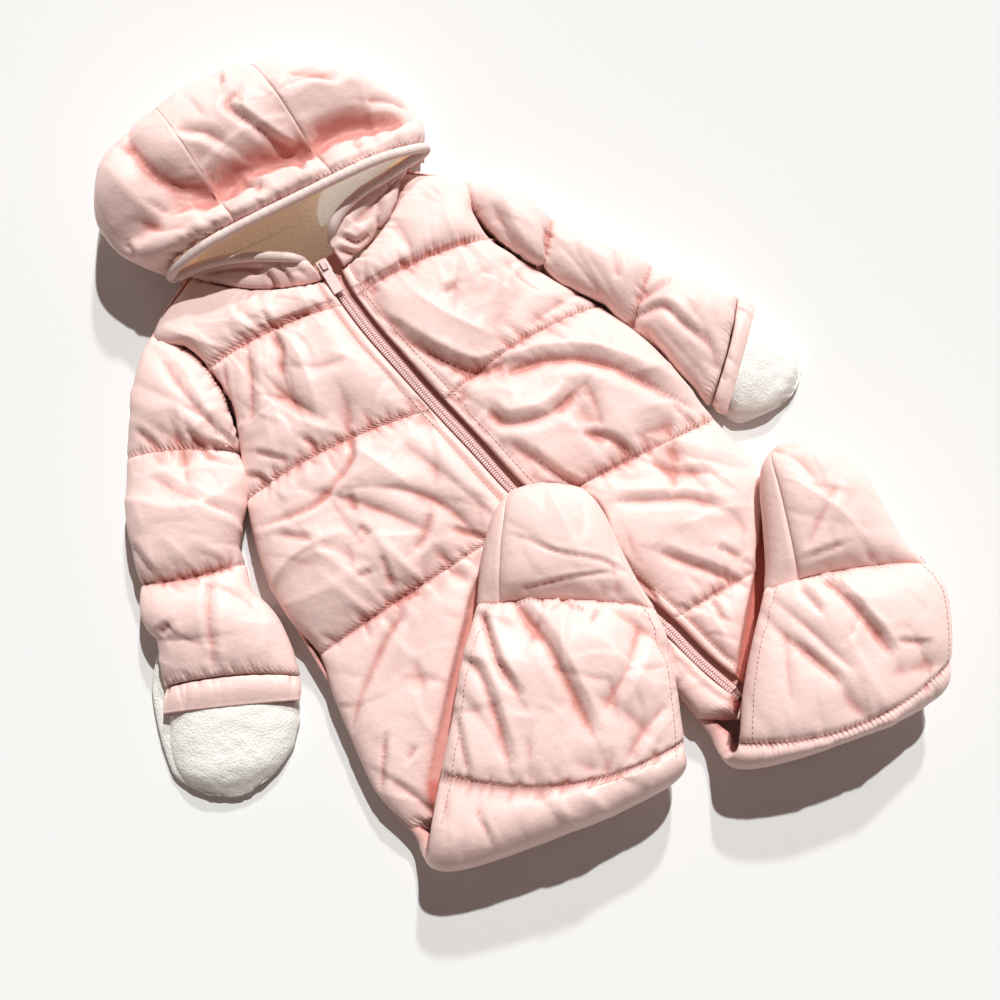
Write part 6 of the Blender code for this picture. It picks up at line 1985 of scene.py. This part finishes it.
def binding():
    """An elastic tube of jersey, drawn up in small uneven gathers."""
    route = [Point(*p) for p in binding_route()]
    rough = between(route, np.linspace(0, len(route) - 1, BINDING_POINTS))
    length = lengths(rough)
    count = int(length[-1] / BINDING_CELL)
    path = sampled(rough, length, np.linspace(0, length[-1], count))
    spin, turn = rings(path, BINDING_SEGMENTS)
    rib = binding_lumps(count, length[-1], turn)
    from_end = np.minimum(np.arange(count), np.arange(count)[::-1]) * length[-1] / count
    narrow = np.clip(from_end / BINDING_TURNS_DOWN, 0, 1)
    path[:, 2] -= BINDING_DROP * (1 - narrow) ** 2
    radius = BINDING_RADIUS * (BINDING_SWELL[0] + BINDING_SWELL[1] * rib)
    radius = radius * (BINDING_ENDS[0] + BINDING_ENDS[1] * narrow[:, None] ** 0.5)
    points = path[:, None] + radius[..., None] * spin
    # painted shade between the lumps
    hollow = np.clip(BINDING_PAINTED_SHADE[0] - BINDING_PAINTED_SHADE[1] * rib, 0, 1)
    sheet("hood_binding", points, spin, hollow, closed=True)


# ---------------------------------------------------------------- zip


def zip_path(start, spacing):
    rough = pressed(between(ZIP, np.linspace(start, len(ZIP) - 1, ZIP_POINTS)))
    length = lengths(rough)
    path = sampled(rough, length, np.arange(0, length[-1], spacing))
    return path, *frame_along(path)


def zip_tapes():
    path, _, side, _ = zip_path(0, ZIP_CELL)
    for name, sign in (("zip_tape_right", 1), ("zip_tape_left", -1)):
        across = sign * np.linspace(TAPE_INNER, TAPE_OUTER, TAPE_POINTS)
        points = path[:, None] + side[:, None] * across[None, :, None]
        points[..., 2] -= TAPE_TOP
        sheet(name, points, upward(points))


def zip_teeth():
    """Two rows of coil teeth, each bead rounded and set half a pitch from its neighbours."""
    tooth = bmesh.new()
    bmesh.ops.create_cube(tooth, size=1)
    bmesh.ops.scale(tooth, verts=tooth.verts, vec=TOOTH)
    bmesh.ops.bevel(
        tooth, geom=tooth.edges, offset=TOOTH_BEVEL, affect="EDGES", segments=2, profile=0.5,
        material=-1,
    )
    tooth.verts.index_update()
    path, ahead, side, up = zip_path(COIL_START, COIL_PITCH)
    places = []
    for sign, shift in ((1, 0.0), (-1, 0.5)):
        for i in range(len(path)):
            middle = path[i] + sign * side[i] * TOOTH_ASIDE + ahead[i] * shift * COIL_PITCH
            middle = middle - np.array([0, 0, COIL_TOP + TOOTH[2] / 2])
            slant = unit(side[i] * sign + TOOTH_SLANT * ahead[i])
            places.append((middle, slant, np.cross(up[i], slant), up[i]))
    repeated("zip_coil_teeth", tooth, places, "coil", "zip_coil")


# ---------------------------------------------------------------- stitching

STITCH_PITCH = 3.4
STITCH_LENGTH = 2.4
STITCH_WIDTH = 0.5
STITCH_LIFT = 0.15
SEAM_STITCH = 11.0  # from a leg's side seam up its side to the stitches beside it


def stitch_line(points, normal):
    """Places for stitches along a line on the cloth."""
    length = lengths(points)
    marks = np.arange(STITCH_PITCH / 2, length[-1], STITCH_PITCH)
    at = sampled(points, length, marks)
    up = unit(sampled(normal, length, marks))
    ahead = unit(np.gradient(at, axis=0))
    side = unit(np.cross(up, ahead))
    lifted = at + STITCH_LIFT * up
    return [(p, a, s, np.cross(a, s)) for p, a, s in zip(lifted, ahead, side)]


def stitches(name, places):
    thread = bmesh.new()
    bmesh.ops.create_cone(
        thread, cap_ends=True, segments=6, radius1=STITCH_WIDTH / 2, radius2=STITCH_WIDTH / 2,
        depth=STITCH_LENGTH,
    )
    turn = Matrix.Rotation(math.radians(90), 3, "Y")
    bmesh.ops.rotate(thread, verts=thread.verts, cent=(0, 0, 0), matrix=turn)
    thread.verts.index_update()
    repeated(name, thread, places, "thread")


def quilting_stitches(shells):
    """Along every stitched row but a panel's first and last."""
    places = []
    for shell in shells:
        for i, row in enumerate(shell.table[1:-1], 1):
            if row.seam:
                at = int(np.argmin(np.abs(shell.stations - i)))
                places += stitch_line(shell.points[at], shell.normal[at])
    stitches("quilting_stitches", places)


def side_stitches(backs):
    """Beside both side seams of each folded lower leg."""
    places = []
    for shell in backs:
        rows = np.nonzero(shell.stations >= FLOOR_ROWS + 4)[0]
        for from_side in (shell.across, shell.across[:, -1:] - shell.across):
            at = np.abs(from_side - SEAM_STITCH).argmin(axis=1)[rows]
            places += stitch_line(shell.points[rows, at], shell.normal[rows, at])
    stitches("side_stitches", places)


def placket_stitches(fronts):
    places = []
    for shell in fronts:
        at = np.abs(shell.across - PLACKET).argmin(axis=1)
        rows = np.arange(len(at))
        places += stitch_line(shell.points[rows, at], shell.normal[rows, at])
    stitches("placket_stitches", places)


# ---------------------------------------------------------------- the stage

CAMERA_AT = (-74.61, -186.52, 984.81)
CAMERA_AIM = (24.99, -44.28, 0.0)
CAMERA_ROLL = 35.0  # degrees from the garment's +Y to the picture's up
CAMERA_LENS = 52.94
SENSOR = 36.0


def across_and_up():
    """The picture's right and up, on the floor."""
    roll = math.radians(CAMERA_ROLL)
    return Vector((math.cos(roll), -math.sin(roll), 0)), Vector((math.sin(roll), math.cos(roll), 0))


def camera():
    right, _ = across_and_up()
    place = Vector(CAMERA_AT) * MM
    toward = (place - Vector(CAMERA_AIM) * MM).normalized()
    up = toward.cross(right)
    data = bpy.data.cameras.new("camera")
    data.sensor_width = SENSOR
    data.lens = CAMERA_LENS
    data.clip_start = 0.01
    obj = bpy.data.objects.new("camera", data)
    turn = Matrix((right, up, toward)).transposed().to_4x4()
    obj.matrix_world = Matrix.Translation(place) @ turn
    bpy.context.scene.collection.objects.link(obj)
    bpy.context.scene.camera = obj


def sun(name, up_share, right_share, elevation, energy, softness):
    right, up = across_and_up()
    level_part = (up * up_share + right * right_share).normalized()
    high = math.radians(elevation)
    toward = level_part * math.cos(high) + Vector((0, 0, math.sin(high)))
    data = bpy.data.lights.new(name, "SUN")
    data.energy = energy
    data.color = (0.97, 1.0, 1.0)
    data.angle = math.radians(softness)
    obj = bpy.data.objects.new(name, data)
    obj.rotation_euler = toward.to_track_quat("Z", "Y").to_euler()
    bpy.context.scene.collection.objects.link(obj)


def stage():
    floor = bmesh.new()
    bmesh.ops.create_grid(floor, x_segments=1, y_segments=1, size=3.0)
    mesh = bpy.data.meshes.new("floor")
    floor.to_mesh(mesh)
    floor.free()
    obj = bpy.data.objects.new("floor", mesh)
    made, tree, shader = finish("pale_floor", (0.79, 0.785, 0.775), 0.9, 0.0, 0.1)
    mesh.materials.append(made)
    bpy.context.scene.collection.objects.link(obj)
    world = bpy.data.worlds.new("studio")
    world.use_nodes = True
    back = world.node_tree.nodes["Background"]
    back.inputs["Color"].default_value = (1, 0.76, 0.70, 1)
    back.inputs["Strength"].default_value = 0.17
    bpy.context.scene.world = world
    sun("key_light", 0.97, 0.25, elevation=50, energy=3.1, softness=1.5)
    sun("second_light", 0.97, 0.17, elevation=36, energy=1.5, softness=3.0)
    bpy.context.scene.view_settings.view_transform = "Standard"


# ---------------------------------------------------------------- the suit

# Each piece of cloth: the flat width and length of its cut in millimetres, the share of that
# rectangle that the cloth fills, how it is held, its thickness and finish, and the seed of its
# random folds.
Piece = namedtuple("Piece", "width length share held thick finish seed")
PIECES = {
    "front_right": Piece(185, 440, 0.85, "laid", SATIN_THICK, "shell", 1),
    "front_left": Piece(165, 490, 0.72, "laid", SATIN_THICK, "shell", 2),
    "front_left_inseam": Piece(36, 170, 0.65, "laid", SATIN_THICK, "shell", 3),
    "back_right": Piece(190, 640, 0.85, "folded", SATIN_THICK, "shell", 4),
    "back_left": Piece(185, 660, 0.78, "folded", SATIN_THICK, "shell", 5),
    "shin_right": Piece(190, 130, 0.65, "folded", SATIN_THICK, "shell", None),
    "shin_left": Piece(170, 110, 0.55, "folded", SATIN_THICK, "shell", None),
    "sleeve_right": Piece(200, 240, 0.90, "laid", SATIN_THICK, "shell", 6),
    "sleeve_left": Piece(160, 210, 0.85, "laid", SATIN_THICK, "shell", 7),
    "cuff_right": Piece(210, 18, 1.0, "gathered", KNIT_THICK, "shell", 8),
    "cuff_left": Piece(170, 14, 1.0, "gathered", KNIT_THICK, "shell", 9),
    "mitt_top_right": Piece(100, 85, 0.8, "laid", FLEECE_THICK, "pile", 10),
    "mitt_top_left": Piece(82, 66, 0.8, "laid", FLEECE_THICK, "pile", 11),
    "mitt_under_right": Piece(190, 80, 0.8, "laid", THIN_FLEECE, "pile", 12),
    "mitt_under_left": Piece(160, 65, 0.8, "laid", THIN_FLEECE, "pile", 13),
    "sole_right": Piece(90, 130, 0.7, "laid", SOLE_THICK, "shell", 14),
    "sole_left": Piece(85, 130, 0.7, "laid", SOLE_THICK, "shell", 15),
    "bootie_right": Piece(150, 130, 0.52, "laid", SOLE_THICK, "shell", None),
    "bootie_left": Piece(150, 130, 0.55, "laid", SOLE_THICK, "shell", None),
    "hood_centre": Piece(75, 280, 1.0, "gathered", SATIN_THICK, "shell", 21),
    "hood_side_right": Piece(140, 160, 0.92, "gathered", SATIN_THICK, "shell", 22),
    "hood_side_left": Piece(138, 160, 0.92, "gathered", SATIN_THICK, "shell", 23),
    "hood_lining": Piece(400, 160, 0.75, "laid", LINING_THICK, "lining", None),
    "hood_lining_roll": Piece(50, 96, 0.8, "folded", THIN_FLEECE, "roll", 41),
    "nape_lining": Piece(150, 62, 0.85, "laid", FLEECE_THICK, "lining", None),
    "chin_right": Piece(100, 40, 0.5, "gathered", SATIN_THICK, "shell", 16),
    "chin_left": Piece(100, 40, 0.5, "gathered", SATIN_THICK, "shell", 17),
    "hood_binding": Piece(23, 435, 1.0, "gathered", KNIT_THICK, "jersey", None),
    "zip_tape_right": Piece(11, 420, 1.0, "laid", TAPE_THICK, "tape", None),
    "zip_tape_left": Piece(11, 420, 1.0, "laid", TAPE_THICK, "tape", None),
}


def main():
    fronts = [
        front("front_right", body_half("right") + THIGH_RIGHT, BODY_PUFF),
        front("front_left", body_half("left") + THIGH_LEFT, BODY_PUFF),
    ]
    front("front_left_inseam", INSEAM_LEFT, INSEAM_PUFF, UP_INTO_FOLD)
    backs = [
        back("back_right", BACK_RIGHT, AWAY_RIGHT, CALF_CREASES_RIGHT),
        back("back_left", BACK_LEFT, AWAY_LEFT, CALF_CREASES_LEFT),
    ]
    folded_front("shin_right", FOLDED_RIGHT)
    folded_front("shin_left", FOLDED_LEFT)
    sleeves = [
        sleeve("sleeve_right", SLEEVE_RIGHT, SLEEVE_CREASES_RIGHT),
        sleeve("sleeve_left", SLEEVE_LEFT, SLEEVE_CREASES_LEFT),
    ]
    gathered_band("cuff_right", CUFF_RIGHT, BAND_PLEATS_RIGHT)
    gathered_band("cuff_left", CUFF_LEFT, BAND_PLEATS_LEFT)
    mitt_top("mitt_top_right", MITT_TOP_RIGHT)
    mitt_top("mitt_top_left", MITT_TOP_LEFT)
    mitt_under("mitt_under_right", MITT_UNDER_RIGHT)
    mitt_under("mitt_under_left", MITT_UNDER_LEFT)
    bootie("right", FOOT_RIGHT, SOLE_CREASES_RIGHT)
    bootie("left", FOOT_LEFT, SOLE_CREASES_LEFT)
    hood()
    hood_lining()
    chin("chin_right", "right", CHIN_RIGHT, CHIN_CREASES_RIGHT)
    chin("chin_left", "left", CHIN_LEFT, CHIN_CREASES_LEFT)
    binding()
    zip_tapes()
    zip_teeth()
    for name, finish_name in (("zip_slider", "coil"), ("zip_pull_tab", "tab")):
        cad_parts[name].material_slots[0].material = FINISHES[finish_name].surface
    quilting_stitches(fronts + backs + sleeves)
    placket_stitches(fronts)
    side_stitches(backs)
    stage()
    camera()


main()
